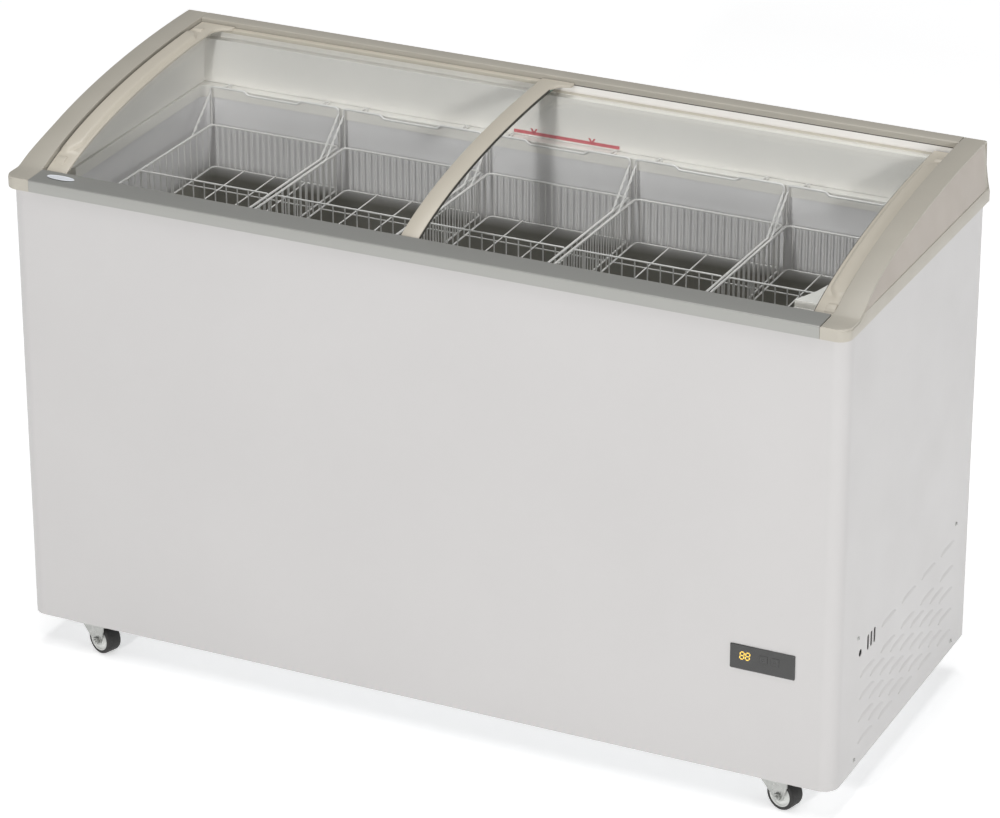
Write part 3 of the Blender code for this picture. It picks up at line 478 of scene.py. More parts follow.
def tube(bm, path, radius, sides=8, closed=False, material=0):
    """Round wire along a path of points."""
    points = [Vector(p) for p in path]
    count = len(points)
    rings = []
    side = None
    for i, point in enumerate(points):
        before = points[i - 1] if closed or i else point
        after = points[(i + 1) % count] if closed or i < count - 1 else point
        along = (after - before).normalized()
        if side is None:
            side = along.orthogonal().normalized()
        side = (side - along * side.dot(along)).normalized()
        other = along.cross(side)
        ring = []
        for j in range(sides):
            angle = 2 * math.pi * (j + 0.5) / sides
            offset = side * math.cos(angle) + other * math.sin(angle)
            ring.append(bm.verts.new(point + offset * radius))
        rings.append(ring)
    pairs = list(zip(rings, rings[1:])) + ([(rings[-1], rings[0])] if closed else [])
    for near, far in pairs:
        turned = 0
        if closed and near is rings[-1]:
            turned = min(range(sides), key=lambda k: (near[0].co - far[k].co).length)
        for j in range(sides):
            k = (j + 1) % sides
            corners = (near[j], near[k], far[(k + turned) % sides], far[(j + turned) % sides])
            bm.faces.new(corners).material_index = material
    if not closed:
        bm.faces.new(rings[0]).material_index = material
        bm.faces.new(rings[-1]).material_index = material


def bent(points, radius, count=4, closed=False):
    """Path with its corners rounded."""
    points = [Vector(p) for p in points]
    path = []
    for i, point in enumerate(points):
        if not closed and i in (0, len(points) - 1):
            path.append(point)
            continue
        path += arc_corner(points[i - 1], point, points[(i + 1) % len(points)], radius, count)
    return path


def bake(piece, cutter_bm):
    """Cut a piece by a bmesh of closed cutters and keep the result as its mesh."""
    bmesh.ops.recalc_face_normals(cutter_bm, faces=cutter_bm.faces)
    cutter = add_object("cutter", mesh_from("cutter", cutter_bm))
    cut = piece.modifiers.new("cut", "BOOLEAN")
    cut.operation = "DIFFERENCE"
    cut.object = cutter
    cut.solver = "EXACT"
    result = evaluated_mesh(piece)
    piece.modifiers.remove(cut)
    piece.data = result
    bpy.data.objects.remove(cutter)
    smooth(result)


def dress(node, key, bevel=0.0):
    """Give a CAD node its final material, smooth shading and softened edges."""
    item = NODES[node]
    item.data.materials.clear()
    item.data.materials.append(MATERIALS[key])
    smooth(item.data)
    if bevel:
        soften(item, bevel)
    return item


# ---------------- cabinet

LOUVRE_L, LOUVRE_H = 0.0615, 0.0016
LOUVRE_PITCH_Y, LOUVRE_PITCH_Z = 0.0865, 0.0190
LOUVRE_Y, LOUVRE_Z, LOUVRE_TOP_Z = -0.188, 0.0950, 0.2530
SLOT_Y, SLOT_PITCH, SLOT_W, SLOT_R, SLOT_Z = -0.1625, 0.0135, 0.0075, 0.0037, (0.2425, 0.2685)
HOLE_Y, HOLE_Z, HOLE_R = -0.191, 0.2525, 0.006
BEZEL_LAP = 0.0027
BEAD_XS = (-0.52, -0.31, -0.10, 0.11, 0.32, 0.53)
BEAD_LOW_Z, BEAD_HIGH_Z, BEAD_R, BEAD_OUT, BEAD_RUN = 0.335, 0.745, 0.011, 0.0026, 0.02
COVER_X, COVER_Z, COVER_R, COVER_SHEET = (0.395, 0.672), (0.075, 0.285), 0.008, 0.0014
HOOD_X, HOOD_Z, HOOD_PITCH_X, HOOD_PITCH_Z, HOOD_HALF = 0.437, 0.140, 0.074, 0.0195, 0.031
HOOD_ROWS, HOOD_COLUMNS = 7, 3


def louvres():
    """(y, z) of the front end of each slit in the right-hand side."""
    for i in range(4):
        yield LOUVRE_Y + (i + 1) * LOUVRE_PITCH_Y, LOUVRE_TOP_Z
    for row in range(7):
        staggered = row % 2
        for i in range(5 - staggered):
            y = LOUVRE_Y + (i + staggered / 2) * LOUVRE_PITCH_Y
            yield y, LOUVRE_Z + row * LOUVRE_PITCH_Z


def make_cabinet():
    """Front and sides bent from one sheet, with the side's slits and holes and the display's opening cut
    through it.
    """
    def outline(inset):
        w, front, r = HALF_W - inset, FRONT + inset, CORNER_R - inset
        return rounded_outline(
            [(-w, CABINET_HIGH.y, 0), (-w, front, r), (w, front, r), (w, CABINET_HIGH.y, 0)], 14
        )
    outer, inner = outline(0.0), outline(SHEET)
    bm = bmesh.new()
    extrude(bm, outer + list(reversed(inner)), "z", BOTTOM, CABINET_HIGH.z)
    shell = make("cabinet_shell", bm, ["enamel", "dark"], "cabinet", "white_enamel",
                 ["cabinet_wrap"])
    cutters = bmesh.new()
    side = (HALF_W - 0.01, HALF_W + 0.01)
    for y, z in louvres():
        block(cutters, side, (y, y + LOUVRE_L), (z, z + LOUVRE_H))
    for i in range(3):
        y = SLOT_Y + SLOT_PITCH * i
        slot = rounded_box(y, SLOT_Z[0], y + SLOT_W, SLOT_Z[1], SLOT_R)
        extrude(cutters, slot, "x", *side)
    extrude(cutters, circle(HOLE_Y, HOLE_Z, HOLE_R, HOLE_R, 24), "x", *side)
    bezel_low, bezel_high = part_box("display_bezel")
    lap = BEZEL_LAP
    block(cutters, (bezel_low.x + lap, bezel_high.x - lap), (FRONT - 0.01, FRONT + 0.01),
          (bezel_low.z + lap, bezel_high.z - lap))
    bake(shell, cutters)


def make_louvre_hoods():
    """Pressed lips over the slits, open towards the floor."""
    bm = bmesh.new()
    reach, tall, across, up = 0.0015, 0.0062, 14, 5
    for y0, z0 in louvres():
        grid = []
        for j in range(up + 1):
            v = j / up
            row = []
            for i in range(across + 1):
                u = i / across
                end = 1 - abs(2 * u - 1) ** 5
                out = reach * end * (1 - v) ** 0.8
                y = y0 - 0.001 + (LOUVRE_L + 0.002) * u
                z = z0 + LOUVRE_H * 0.7 + tall * v * end
                row.append(bm.verts.new((HALF_W - 0.0002 + out, y, z)))
            grid.append(row)
        back = [bm.verts.new((HALF_W - 0.0004, v.co.y, z0 + LOUVRE_H * 0.7)) for v in grid[0]]
        for low, high in zip([back] + grid, grid):
            for i in range(across):
                bm.faces.new((low[i], low[i + 1], high[i + 1], high[i]))
    make("louvre_hoods", bm, "enamel", "cabinet", "white_enamel", sharp=50)


def screw_mesh():
    """Pan head with a cross recess, on local +Z."""
    bm = bmesh.new()
    profile = [(0.0, 0.0017), (0.0016, 0.0016), (0.0028, 0.0012), (0.0034, 0.0005), (0.0035, -0.0003)]
    turn(bm, profile, Matrix.Identity(4), 20)
    # Painted shade: the cross recess is a block coloured near black for the shade inside it.
    for angle in (0.0, math.pi / 2):
        spin = Matrix.Rotation(angle + 0.4, 4, "Z")
        made = block(bm, (-0.0015, 0.0015), (-0.00028, 0.00028), (0.0012, 0.00172), 1)
        for ring in made:
            bmesh.ops.transform(bm, matrix=spin, verts=ring)
    return mesh_from("screw", bm)


def make_screws(name, places, outward, body="cabinet"):
    """Screw heads at the given points, all facing one way."""
    spin = Vector(outward).to_track_quat("Z", "Y").to_matrix().to_4x4()
    one = screw_mesh()
    bm = bmesh.new()
    for place in places:
        start = len(bm.verts)
        bm.from_mesh(one)
        bm.verts.ensure_lookup_table()
        bmesh.ops.transform(bm, matrix=Matrix.Translation(place) @ spin, verts=bm.verts[start:])
    make(name, bm, ["zinc", "dark"], body, "zinc", sharp=40)


def make_rear_details():
    """Stiffening beads, a louvred machine cover and its screws on the rear sheet."""
    dress("rear_panel", "galvanised")
    bm = bmesh.new()
    for x in BEAD_XS:
        rings = []
        for z in steps(BEAD_LOW_Z, BEAD_HIGH_Z, 40):
            end = min(ease((z - BEAD_LOW_Z) / BEAD_RUN), ease((BEAD_HIGH_Z - z) / BEAD_RUN))
            out = 0.0004 + BEAD_OUT * end
            rings.append([
                (x + BEAD_R * math.cos(a), REAR - 0.0004 + out * math.sin(a), z)
                for a in steps(0, math.pi, 10)
            ])
        loft(bm, rings)
    make("rear_beads", bm, "galvanised", "cabinet", "galvanised", sharp=50)

    bm = bmesh.new()
    cover = rounded_box(COVER_X[0], COVER_Z[0], COVER_X[1], COVER_Z[1], COVER_R)
    extrude(bm, cover, "y", REAR + 0.0001, REAR + COVER_SHEET)
    make("machine_cover", bm, "galvanised", "cabinet", "galvanised", bevel=0.0004)
    hoods, slot_shade = bmesh.new(), bmesh.new()
    for row in range(HOOD_ROWS):
        for column in range(HOOD_COLUMNS):
            cx = HOOD_X + column * HOOD_PITCH_X
            cz = HOOD_Z + row * HOOD_PITCH_Z
            rings = []
            for x in steps(cx - HOOD_HALF, cx + HOOD_HALF, 16):
                end = 1 - abs((x - cx) / HOOD_HALF) ** 5
                out = 0.0002 + 0.0045 * end
                y = REAR + 0.0013
                rings.append([
                    (x, y, cz), (x, y + out, cz), (x, y + out * 0.8, cz + 0.004),
                    (x, y + out * 0.35, cz + 0.0085), (x, y, cz + 0.0115),
                ])
            loft(hoods, rings)
            # Painted shade: a thin near-black plate under each hood stands for the shaded opening beneath
            # it.
            block(slot_shade, (cx - 0.029, cx + 0.029), (REAR + 0.0013, REAR + 0.0016),
                  (cz - 0.0035, cz - 0.0002))
    make("cover_louvres", hoods, "galvanised", "cabinet", "galvanised", sharp=40)
    make("cover_slot_shade", slot_shade, "dark", "cabinet", "black_plastic")

    edge = [(x, REAR + 0.0002, z) for z in (0.072, 0.786) for x in (-0.66, -0.33, 0.0, 0.33, 0.66)]
    edge += [(x, REAR + 0.0002, z) for x in (-0.688, 0.688) for z in (0.25, 0.43, 0.61)]
    cover_screws = [(x, REAR + 0.0016, z) for x in (0.404, 0.663) for z in (0.084, 0.18, 0.276)]
    make_screws("rear_screws", edge + cover_screws, (0, 1, 0))
    places = [(HALF_W + 0.0001, y, z) for y, z in
              ((-0.202, 0.282), (0.2225, 0.282), (-0.202, 0.074), (0.2225, 0.074))]
    make_screws("side_screws", places, (1, 0, 0))
    left = [(-HALF_W - 0.0001, y, z) for _, y, z in places]
    make_screws("left_side_screws", left, (-1, 0, 0))


# ---------------- top frame

def make_front_rail():
    """Channel with a vertical front face, a flat top and a rear lip."""
    front, back = RAIL_LOW.y, RAIL_HIGH.y
    low, high = RAIL_LOW.z, RAIL_HIGH.z
    wall = 0.002
    outline = rounded_outline([
        (front, low, 0.0006), (front, high - 0.0015, 0.0022), (back, high, 0.0010),
        (back, low, 0), (back - wall, low, 0), (back - wall, high - wall - 0.0015, 0),
        (front + wall, high - wall - 0.0015, 0), (front + wall, low, 0.0006),
    ], 5)
    bm = bmesh.new()
    extrude(bm, outline, "x", -RAIL_SEAM_X, RAIL_SEAM_X)
    make("front_rail_trim", bm, "rail", "cabinet", "rail_plastic", ["front_rail"])


def make_rear_rail():
    """Upstand behind the lids with the top band, closed to both end frames."""
    outline = rounded_outline([
        (THROAT_LOW_Y, REAR_RAIL_LOW.z, 0), (THROAT_HIGH_Y, THROAT_TOP_Z, 0),
        (REAR_WALL_Y, THROAT_TOP_Z, 0.0006),
        (REAR_WALL_Y, REAR_SEAM_Z, 0), (REAR_WALL_Y + 0.0010, REAR_SEAM_Z + 0.0002, 0),
        (REAR_WALL_Y + 0.0010, REAR_SEAM_Z + 0.0012, 0), (REAR_WALL_Y, REAR_SEAM_Z + 0.0014, 0),
        (REAR_WALL_Y, 0.9038, 0.0024), (REAR_TOP_Y, FRAME_HIGH.z, 0.0018),
        (REAR_FOOT_Y, SKIRT_TOP + 0.0005, 0.003), (FRAME_HIGH.y, SKIRT_TOP - 0.003, 0.001),
        (FRAME_HIGH.y, REAR_RAIL_LOW.z, 0.0008),
    ], 5)
    half = END_TOP_INNER_X - 0.0002
    bm = bmesh.new()
    extrude(bm, outline, "x", -half, half)
    for face in bm.faces:
        height = face.calc_center_median().z
        if max(v.co.y for v in face.verts) < 0.2660 and height < REAR_SEAM_Z + 0.0013:
            face.material_index = 1 if height < REAR_SEAM_Z else 2
    make("rear_rail_trim", bm, ["frame", "throat", "seal"], "cabinet", "frame_plastic", ["rear_rail"])


def end_stations():
    """(y, outer x, top z) along the right-hand end frame."""
    stations = []
    for degrees in steps(6, 90, 9):
        angle = math.radians(degrees)
        y = FRAME_LOW.y + SKIRT_R * (1 - math.cos(angle))
        stations.append((y, FRAME_HALF_W - SKIRT_R + SKIRT_R * math.sin(angle), RAIL_HIGH.z - 0.0015))
    stations.append((CURVE_START - 0.005, FRAME_HALF_W, RAIL_HIGH.z - 0.0013))
    for y in steps(CURVE_START + 0.001, REAR_TOP_Y - 0.002, 60):
        top = min(soft_max(curve_height(y), RAIL_HIGH.z - 0.0026, 0.0040), FRAME_HIGH.z)
        stations.append((y, FRAME_HALF_W, top))
    stations.append((REAR_TOP_Y, FRAME_HALF_W, FRAME_HIGH.z - 0.0012))
    for share in (0.03, 0.25, 0.5, 0.75, 1.0):
        y = REAR_TOP_Y + share * (REAR_FOOT_Y - REAR_TOP_Y)
        stations.append((y, FRAME_HALF_W, FRAME_HIGH.z + share * (SKIRT_TOP - FRAME_HIGH.z)))
    stations.append((FRAME_HIGH.y, FRAME_HALF_W, SKIRT_TOP - 0.003))
    return stations


def end_shape(y, outer, top):
    """Named points of the section of the right-hand end frame at depth y."""
    inner = RAIL_SEAM_X + 0.0004 if y < RAIL_HIGH.y else END_TOP_INNER_X
    skirt = min(SKIRT_TOP, top - 0.0042)
    rise = ease((top - SKIRT_TOP) / 0.034)
    inset = 0.0006 + 0.0012 * rise
    crest = outer - 0.0008 + rise * (END_TOP_OUTER_X - outer + 0.0008)
    return {
        "inner": inner, "outer": outer, "skirt": skirt, "top": top,
        "foot": (outer - inset, skirt + 0.0004),
        "head": (crest - 0.0018 * rise - 0.0004, top - 0.0036),
        "crest": crest,
    }


def end_section(y, outer, top):
    s = end_shape(y, outer, top)
    corners = [
        (s["inner"], FRAME_LOW.z, 0), (s["outer"], FRAME_LOW.z, 0.0012),
        (s["outer"], s["skirt"], 0.0012), (*s["foot"], 0.0005), (*s["head"], 0.0005),
        (s["crest"], s["top"] - 0.0034, 0.0006), (s["crest"], s["top"], 0.0020),
        (s["inner"], s["top"], 0.0020),
    ]
    points = []
    for i, (x, z, radius) in enumerate(corners):
        before, after = corners[i - 1][:2], corners[(i + 1) % len(corners)][:2]
        if radius:
            points += arc_corner(before, (x, z), after, radius, 3)
        else:
            points.append(Vector((x, z)))
    return points


def make_end_frame(name, node, side):
    """Curved end frame: skirt, recessed side, top band and inner lip."""
    rings = [[(side * x, y, z) for x, z in end_section(y, outer, top)]
             for y, outer, top in end_stations()]
    make_loft(name, rings, "frame", "cabinet", "frame_plastic", [node], sharp=28)


def make_side_insert(name, side):
    """Smooth panel set into the recess of an end frame."""
    rings = []
    for y, outer, top in end_stations():
        s = end_shape(y, outer, top)
        (fx, fz), (hx, hz) = s["foot"], s["head"]
        if hz - fz < 0.0008 or y > 0.2790:
            continue
        foot, head = Vector((fx, fz + 0.0001)), Vector((hx, hz - 0.0004))
        out = Vector((0.0009, 0.0))
        ring = [foot - out, foot + out * 0.8, head + out * 0.8, head - out]
        rings.append([(side * p.x, y, p.y) for p in ring])
    make_loft(name, rings, "side_insert", "cabinet", "frame_plastic", sharp=28)


def make_lid_track(name, side):
    """Inner ledge of an end frame that the lids pass over."""
    ys = steps(-0.226, REAR_WALL_Y, 48)
    outline = [(y, curve_height(y) - 0.029) for y in ys]
    outline += [(REAR_WALL_Y, FRAME_LOW.z), (-0.226, FRAME_LOW.z)]
    bm = bmesh.new()
    x = sorted((side * 0.645, side * (END_TOP_INNER_X + 0.001)))
    extrude(bm, outline, "x", *x)
    make(name, bm, "throat", "cabinet", "frame_plastic", sharp=28)


def make_throat():
    """Ring between the cabinet's sheet and the tub, with a plate in the front right corner."""
    low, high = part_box("throat_frame")
    outer = rounded_outline([
        (low.x, high.y, 0), (low.x, low.y, 0.040), (high.x, low.y, 0.040), (high.x, high.y, 0),
    ], 10)
    half, front, rear = 0.640, -0.226, 0.228
    corner = [(half, -0.070, 0.010), (0.598, -0.092, 0.014), (0.588, -0.137, 0.050),
              (0.562, -0.199, 0.030), (0.548, front, 0.010)]
    inner = rounded_outline(
        [(half, rear, 0.012)] + corner + [(-half, front, 0.020), (-half, rear, 0.012)], 8
    )
    curve = bpy.data.curves.new("throat_outline", "CURVE")
    curve.dimensions = "2D"
    curve.fill_mode = "BOTH"
    curve.extrude = (high.z - low.z) / 2
    for loop in (outer, inner):
        spline = curve.splines.new("POLY")
        spline.points.add(len(loop) - 1)
        spline.use_cyclic_u = True
        for target, point in zip(spline.points, loop):
            target.co = (point[0], point[1], 0.0, 1.0)
    drawn = add_object("throat_outline", curve)
    bm = bmesh.new()
    bm.from_mesh(evaluated_mesh(drawn))
    bpy.data.objects.remove(drawn)
    bmesh.ops.remove_doubles(bm, verts=bm.verts, dist=0.00001)
    bmesh.ops.translate(bm, verts=bm.verts, vec=(0, 0, (low.z + high.z) / 2))
    throat = make("throat_ring", bm, "throat", "cabinet", "frame_plastic", ["throat_frame"])
    cutters = bmesh.new()
    block(cutters, (-END_TOP_INNER_X, END_TOP_INNER_X), (-0.2525, -0.180), (0.7905, 0.9))
    bake(throat, cutters)
    soften(throat, 0.0008)


def make_badge():
    """Blank oval plate with a raised rim near the left end of the front rail."""
    low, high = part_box("badge_plate")
    centre, size = (low + high) / 2, (high - low) / 2
    rings = []
    for inset, z in ((0, low.z), (0, high.z - 0.0003), (0.0003, high.z), (0.0011, high.z),
                     (0.0015, high.z - 0.0004)):
        outline = circle(centre.x, centre.y, size.x - inset, size.y - inset, 56)
        rings.append([(x, y, z) for x, y in outline])
    make_loft("badge", rings, "badge", "cabinet", "badge", ["badge_plate"])


# ---------------- lids

LID_FRONT, LID_REAR = -0.249, 0.262
HANDLE_FRONT, HANDLE_REAR = -0.205, 0.215
STRIP_INNER_X, LID_END_X = 0.620, 0.656
FINGER_GAP = 0.0028
RIDGE_WIDE_X, RIDGE_NARROW_X = 0.6245, 0.6385
SWING = 0.030
RIDGE_RISE, RIDGE_RUN = 0.0055, 0.010
CLIP_X, CLIP_SLOPE, CLIP_TOP, CLIP_RUN = (0.6340, 0.6515), 0.0015, 0.0026, 0.005
CLIPS_Y = ((HANDLE_FRONT - 0.022, HANDLE_FRONT - 0.004), (HANDLE_REAR + 0.004, HANDLE_REAR + 0.020))
STRIP_ENDS = (LID_FRONT + 0.006, LID_REAR - 0.0005)
FILLET_R = 0.026


def rear_fillet(y, end=0.2500):
    """How far a strip widens into the rounded rear corner of its opening."""
    left = min(max(end - y, 0.0), FILLET_R)
    return FILLET_R - math.sqrt(FILLET_R ** 2 - (FILLET_R - left) ** 2)


def make_glass(name, node, body, depth):
    """Bent sheet with ground side edges and pale front and rear ones."""
    low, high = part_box(node)
    rings = []
    for y in steps(LID_FRONT, LID_REAR, 72):
        z = curve_height(y) - depth
        rings.append([(low.x, y, z), (high.x, y, z), (high.x, y, z - GLASS), (low.x, y, z - GLASS)])
    bm = bmesh.new()
    loft(bm, rings)
    bm.normal_update()
    for face in bm.faces:
        if abs(face.normal.x) > 0.5:
            face.material_index = 1
        elif all(abs(v.co.y - face.verts[0].co.y) < 1e-6 for v in face.verts):
            face.material_index = 2
    make(name, bm, ["glass", "glass_edge", "strip"], body, "lid_glass", [node])


def make_rear_trim(name, node, body, depth):
    """Light edging clipped over the rear edge of a glass sheet."""
    low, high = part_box(node)
    rings = []
    for x in (low.x + 0.002, high.x - 0.002):
        top, end = curve_height(LID_REAR) - depth, LID_REAR + 0.0014
        start = LID_REAR - 0.0075
        near = curve_height(start) - depth
        rings.append([(x, start, near + 0.0002), (x, start + 0.0010, near + 0.0016),
                      (x, end - 0.0008, top + 0.0016), (x, end, top + 0.0008),
                      (x, end, top - GLASS - 0.0008), (x, start, near - GLASS - 0.0008)])
    make_loft(name, rings, "strip", body, "strip_plastic", sharp=38)


def strip_section(inner, outer, ridge_in, rise, bottom):
    """Section of a lid strip: flat band, and a ridge of the given rise along its outer part."""
    top = bottom + STRIP
    r = 0.0009
    return [
        (inner, bottom), (inner, top - r), (inner + r * 0.3, top - r * 0.3), (inner + r, top),
        (ridge_in, top), (ridge_in + 0.0020, top + rise * 0.35), (ridge_in + 0.0045, top + rise * 0.82),
        (ridge_in + 0.0075, top + rise), (outer - 0.0022, top + rise * 0.97),
        (outer - 0.0006, top + rise * 0.72), (outer, top + rise * 0.1 - 0.0006), (outer, bottom),
    ]


def make_handle_strip(name, node, body, side, depth, fillet):
    """End strip of a lid: grip ridge, finger gap beside it, and a clip at each end."""
    bm = bmesh.new()
    rings = []
    for y in steps(*STRIP_ENDS, 130):
        inside = min(ease((y - HANDLE_FRONT) / RIDGE_RUN), ease((HANDLE_REAR - y) / RIDGE_RUN))
        inner = STRIP_INNER_X - (rear_fillet(y) if fillet else 0.0)
        outer = LID_END_X - 0.0006 - (FINGER_GAP - 0.0006) * ease(inside * 1.6)
        rise = RIDGE_RISE * inside
        bottom = curve_height(y) - depth + 0.0004
        swing = min(ease((y - HANDLE_FRONT) / SWING), ease((HANDLE_REAR - y) / SWING))
        ridge = RIDGE_NARROW_X + (RIDGE_WIDE_X - RIDGE_NARROW_X) * swing
        section = strip_section(inner, outer, ridge, rise, bottom)
        rings.append([(side * x, y, z) for x, z in section])
    loft(bm, rings)
    for y0, y1 in CLIPS_Y:
        rings = []
        for y in steps(y0, y1, 8):
            end = min(ease((y - y0) / CLIP_RUN), ease((y1 - y) / CLIP_RUN))
            bottom = curve_height(y) - depth + STRIP
            top = bottom + 0.0006 + CLIP_TOP * end
            section = rounded_outline([
                (CLIP_X[0], bottom, 0), (CLIP_X[0] + CLIP_SLOPE, top, 0.0012),
                (CLIP_X[1] - CLIP_SLOPE, top, 0.0012), (CLIP_X[1], bottom, 0),
            ], 3)
            rings.append([(side * x, y, z) for x, z in section])
        loft(bm, rings)
    make(name, bm, "strip", body, "strip_plastic", [node], sharp=38)


def make_centre_strip(name, node, body, depth, widen):
    """Cross strip at the inner edge of a lid, a little crowned."""
    low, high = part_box(node)
    rings = []
    for y in steps(*STRIP_ENDS, 90):
        left, right = low.x, high.x + (rear_fillet(y) if widen else 0.0)
        bottom = curve_height(y) - depth + 0.0004
        top = bottom + STRIP
        rings.append([(x, y, z) for x, z in (
            (left, bottom), (left, top - 0.0010), (left + 0.0004, top - 0.0004),
            (left + 0.0012, top - 0.0001), ((left + right) / 2, top + 0.0004),
            (right - 0.0012, top - 0.0001), (right - 0.0004, top - 0.0004),
            (right, top - 0.0010), (right, bottom),
        )])
    make_loft(name, rings, "strip", body, "strip_plastic", [node], sharp=38)


def make_seal(name, body, x, depth, rise, y=(-0.243, 0.2480)):
    """Dark wiper strip along one edge of a lid."""
    rings = []
    for at in steps(*y, 70):
        top = curve_height(at) - depth + rise
        rings.append([(x[0], at, top - 0.0042), (x[1], at, top - 0.0042), (x[1], at, top), (x[0], at, top)])
    make_loft(name, rings, "seal", body, "black_plastic", sharp=50)


def make_lids():
    make_glass("upper_sheet", "upper_glass", "upper_lid", UPPER_DEPTH)
    make_glass("lower_sheet", "lower_glass", "lower_lid", LOWER_DEPTH)
    make_rear_trim("upper_rear_trim", "upper_glass", "upper_lid", UPPER_DEPTH)
    make_handle_strip("upper_grip", "upper_handle_strip", "upper_lid", -1, UPPER_DEPTH, True)
    make_handle_strip("lower_grip", "lower_handle_strip", "lower_lid", 1, LOWER_DEPTH, False)
    make_centre_strip("upper_mullion", "upper_centre_strip", "upper_lid", UPPER_DEPTH, True)
    make_centre_strip("lower_mullion", "lower_centre_strip", "lower_lid", LOWER_DEPTH, False)
    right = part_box("upper_centre_strip")[1].x
    make_seal("mullion_seal", "upper_lid", (right - 0.0015, right + 0.0011), UPPER_DEPTH, 0.0030,
              (-0.243, 0.2240))
    make_seal("right_glass_seal", "lower_lid", (STRIP_INNER_X - 0.0014, STRIP_INNER_X - 0.0001),
              LOWER_DEPTH, 0.0022)


# ---------------- baskets

THICK, THIN = 0.0021, 0.00115
RIM_FRONT_Z, RIM_REAR_Z = 0.7486, 0.7396
# How far each basket's left and right ends lie inside its CAD box.
BASKET_TRIM = (
    (0.0040, 0.0), (0.0014, -0.0090), (0.0090, -0.0150), (0.0004, -0.0110), (0.0064, 0.0),
)
HANGER_FRONT_Z = 0.7698
DROP_MARGIN_X, DROP_MARGIN_Y, FLOOR_MARGIN_X, FLOOR_MARGIN_Y = 0.0105, 0.0150, 0.0605, 0.090
HOOK_X = 0.090


def rim_height(y):
    """Centre of the rim wire, which slopes down to the rear."""
    share = (y - BASKET_FRONT) / (BASKET_REAR - BASKET_FRONT)
    return RIM_FRONT_Z + (RIM_REAR_Z - RIM_FRONT_Z) * share - THICK


def basket_bmesh(half):
    """Welded wire basket about x = 0: rim, drops on all four sides, floor wires and hangers."""
    bm = bmesh.new()
    half -= THICK
    front, rear = BASKET_FRONT + THICK, BASKET_REAR - THICK
    low = BASKET_LOW.z + THIN
    for top, inset, radius in ((True, 0.0, THICK), (False, 0.0016, 0.0016)):
        w, f, r = half - inset, front + inset, rear - inset
        heights = (rim_height(f), rim_height(r)) if top else (low + 0.0006, low + 0.0006)
        corners = [(-w, f, heights[0]), (w, f, heights[0]), (w, r, heights[1]), (-w, r, heights[1])]
        tube(bm, bent(corners, 0.010, 4, True), radius, 8, True)
    inset = 0.0016
    for y in steps(front + DROP_MARGIN_Y, rear - DROP_MARGIN_Y, 20):
        for side in (-1, 1):
            x = side * (half - inset)
            tube(bm, [(x, y, rim_height(y)), (x, y, low + 0.0010)], THIN, 6)
    for y in steps(front + FLOOR_MARGIN_Y, rear - FLOOR_MARGIN_Y, 2):
        tube(bm, [(-half + inset, y, low), (half - inset, y, low)], THIN, 6)
    f, r = front + inset, rear - inset
    z = low + 2 * THIN
    for x in steps(-half + DROP_MARGIN_X, half - DROP_MARGIN_X, 20):
        for y in (f, r):
            tube(bm, [(x, y, rim_height(y)), (x, y, low + 0.0010)], THIN, 6)
    for x in steps(-half + FLOOR_MARGIN_X, half - FLOOR_MARGIN_X, 2):
        tube(bm, [(x, f, z), (x, r, z)], THIN, 6)
    for y, top in ((rear, BASKET_HIGH.z - THICK), (front, HANGER_FRONT_Z - THICK)):
        dip = 0.0058 if y > 0 else 0.002
        a, b = 0.44 * half, 0.39 * half
        rim = rim_height(y)
        path = bent([
            (-half, y, rim), (-half, y, top), (-a - 0.0035, y, top), (-a + 0.0035, y, top - dip),
            (b - 0.0035, y, top - dip), (b + 0.0035, y, top), (half, y, top), (half, y, rim),
        ], 0.006 if y > 0 else 0.004, 4)
        tube(bm, path, THICK, 8)
    for side in (-1, 1):
        x = side * half
        start, end = Vector((x, rear, BASKET_HIGH.z - 0.012)), Vector((x, 0.155, rim_height(0.155)))
        for turned in (0.0, math.pi):
            path = []
            for share in steps(0.0, 1.0, 48):
                angle = turned + share * 6 * math.pi
                offset = Vector((math.cos(angle), 0.6 * math.sin(angle), 0.8 * math.sin(angle)))
                path.append(start.lerp(end, share) + offset * 0.0012)
            tube(bm, path, THIN, 6)
        hook_x = side * HOOK_X
        for y, reach, top in ((rear, 0.2385, BASKET_HIGH.z), (front, -0.2230, HANGER_FRONT_Z)):
            z = top - THICK
            path = bent([(hook_x - 0.003, y, z), (hook_x - 0.003, reach, z),
                         (hook_x + 0.003, reach, z), (hook_x + 0.003, y, z)], 0.0025, 3)
            tube(bm, path, 0.0013, 6)
    return bm


def partition_bmesh(half):
    """Cross partition: top and lower wires with drops down to the basket's floor."""
    bm = bmesh.new()
    half -= 0.0042
    top, low = rim_height(DIVIDER_Y) + 0.0006, BASKET_LOW.z + 0.0062
    path = bent([(-half, DIVIDER_Y, low), (-half, DIVIDER_Y, top), (half, DIVIDER_Y, top),
                 (half, DIVIDER_Y, low)], 0.004, 4)
    tube(bm, path, 0.0015, 8)
    for z in (top - 0.031, low + 0.002):
        tube(bm, [(-half, DIVIDER_Y, z), (half, DIVIDER_Y, z)], THIN, 6)
    for x in steps(-half + 0.0165, half - 0.0165, 10):
        tube(bm, [(x, DIVIDER_Y, top), (x, DIVIDER_Y, low)], THIN, 6)
    return bm


def make_baskets():
    for number in range(1, 6):
        low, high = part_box(f"basket_{number}")
        left, right = low.x + BASKET_TRIM[number - 1][0], high.x - BASKET_TRIM[number - 1][1]
        half = (right - left) / 2
        at = ((left + right) / 2, 0, 0)
        body = f"basket_{number}"
        make(f"wire_basket_{number}", basket_bmesh(half), "wire", body, "wire_white",
             [f"basket_{number}"], sharp=60, at=at)
        make(f"wire_partition_{number}", partition_bmesh(half), "wire", body, "wire_white",
             [f"basket_divider_{number}"], sharp=60, at=at)


# ---------------- inside

LOAD_LINE_X, LOAD_LINE_Z, LOAD_LINE_TALL = (-0.082, 0.102), 0.8054, 0.0053
LOAD_ARROWS_X = (-0.047, 0.054)


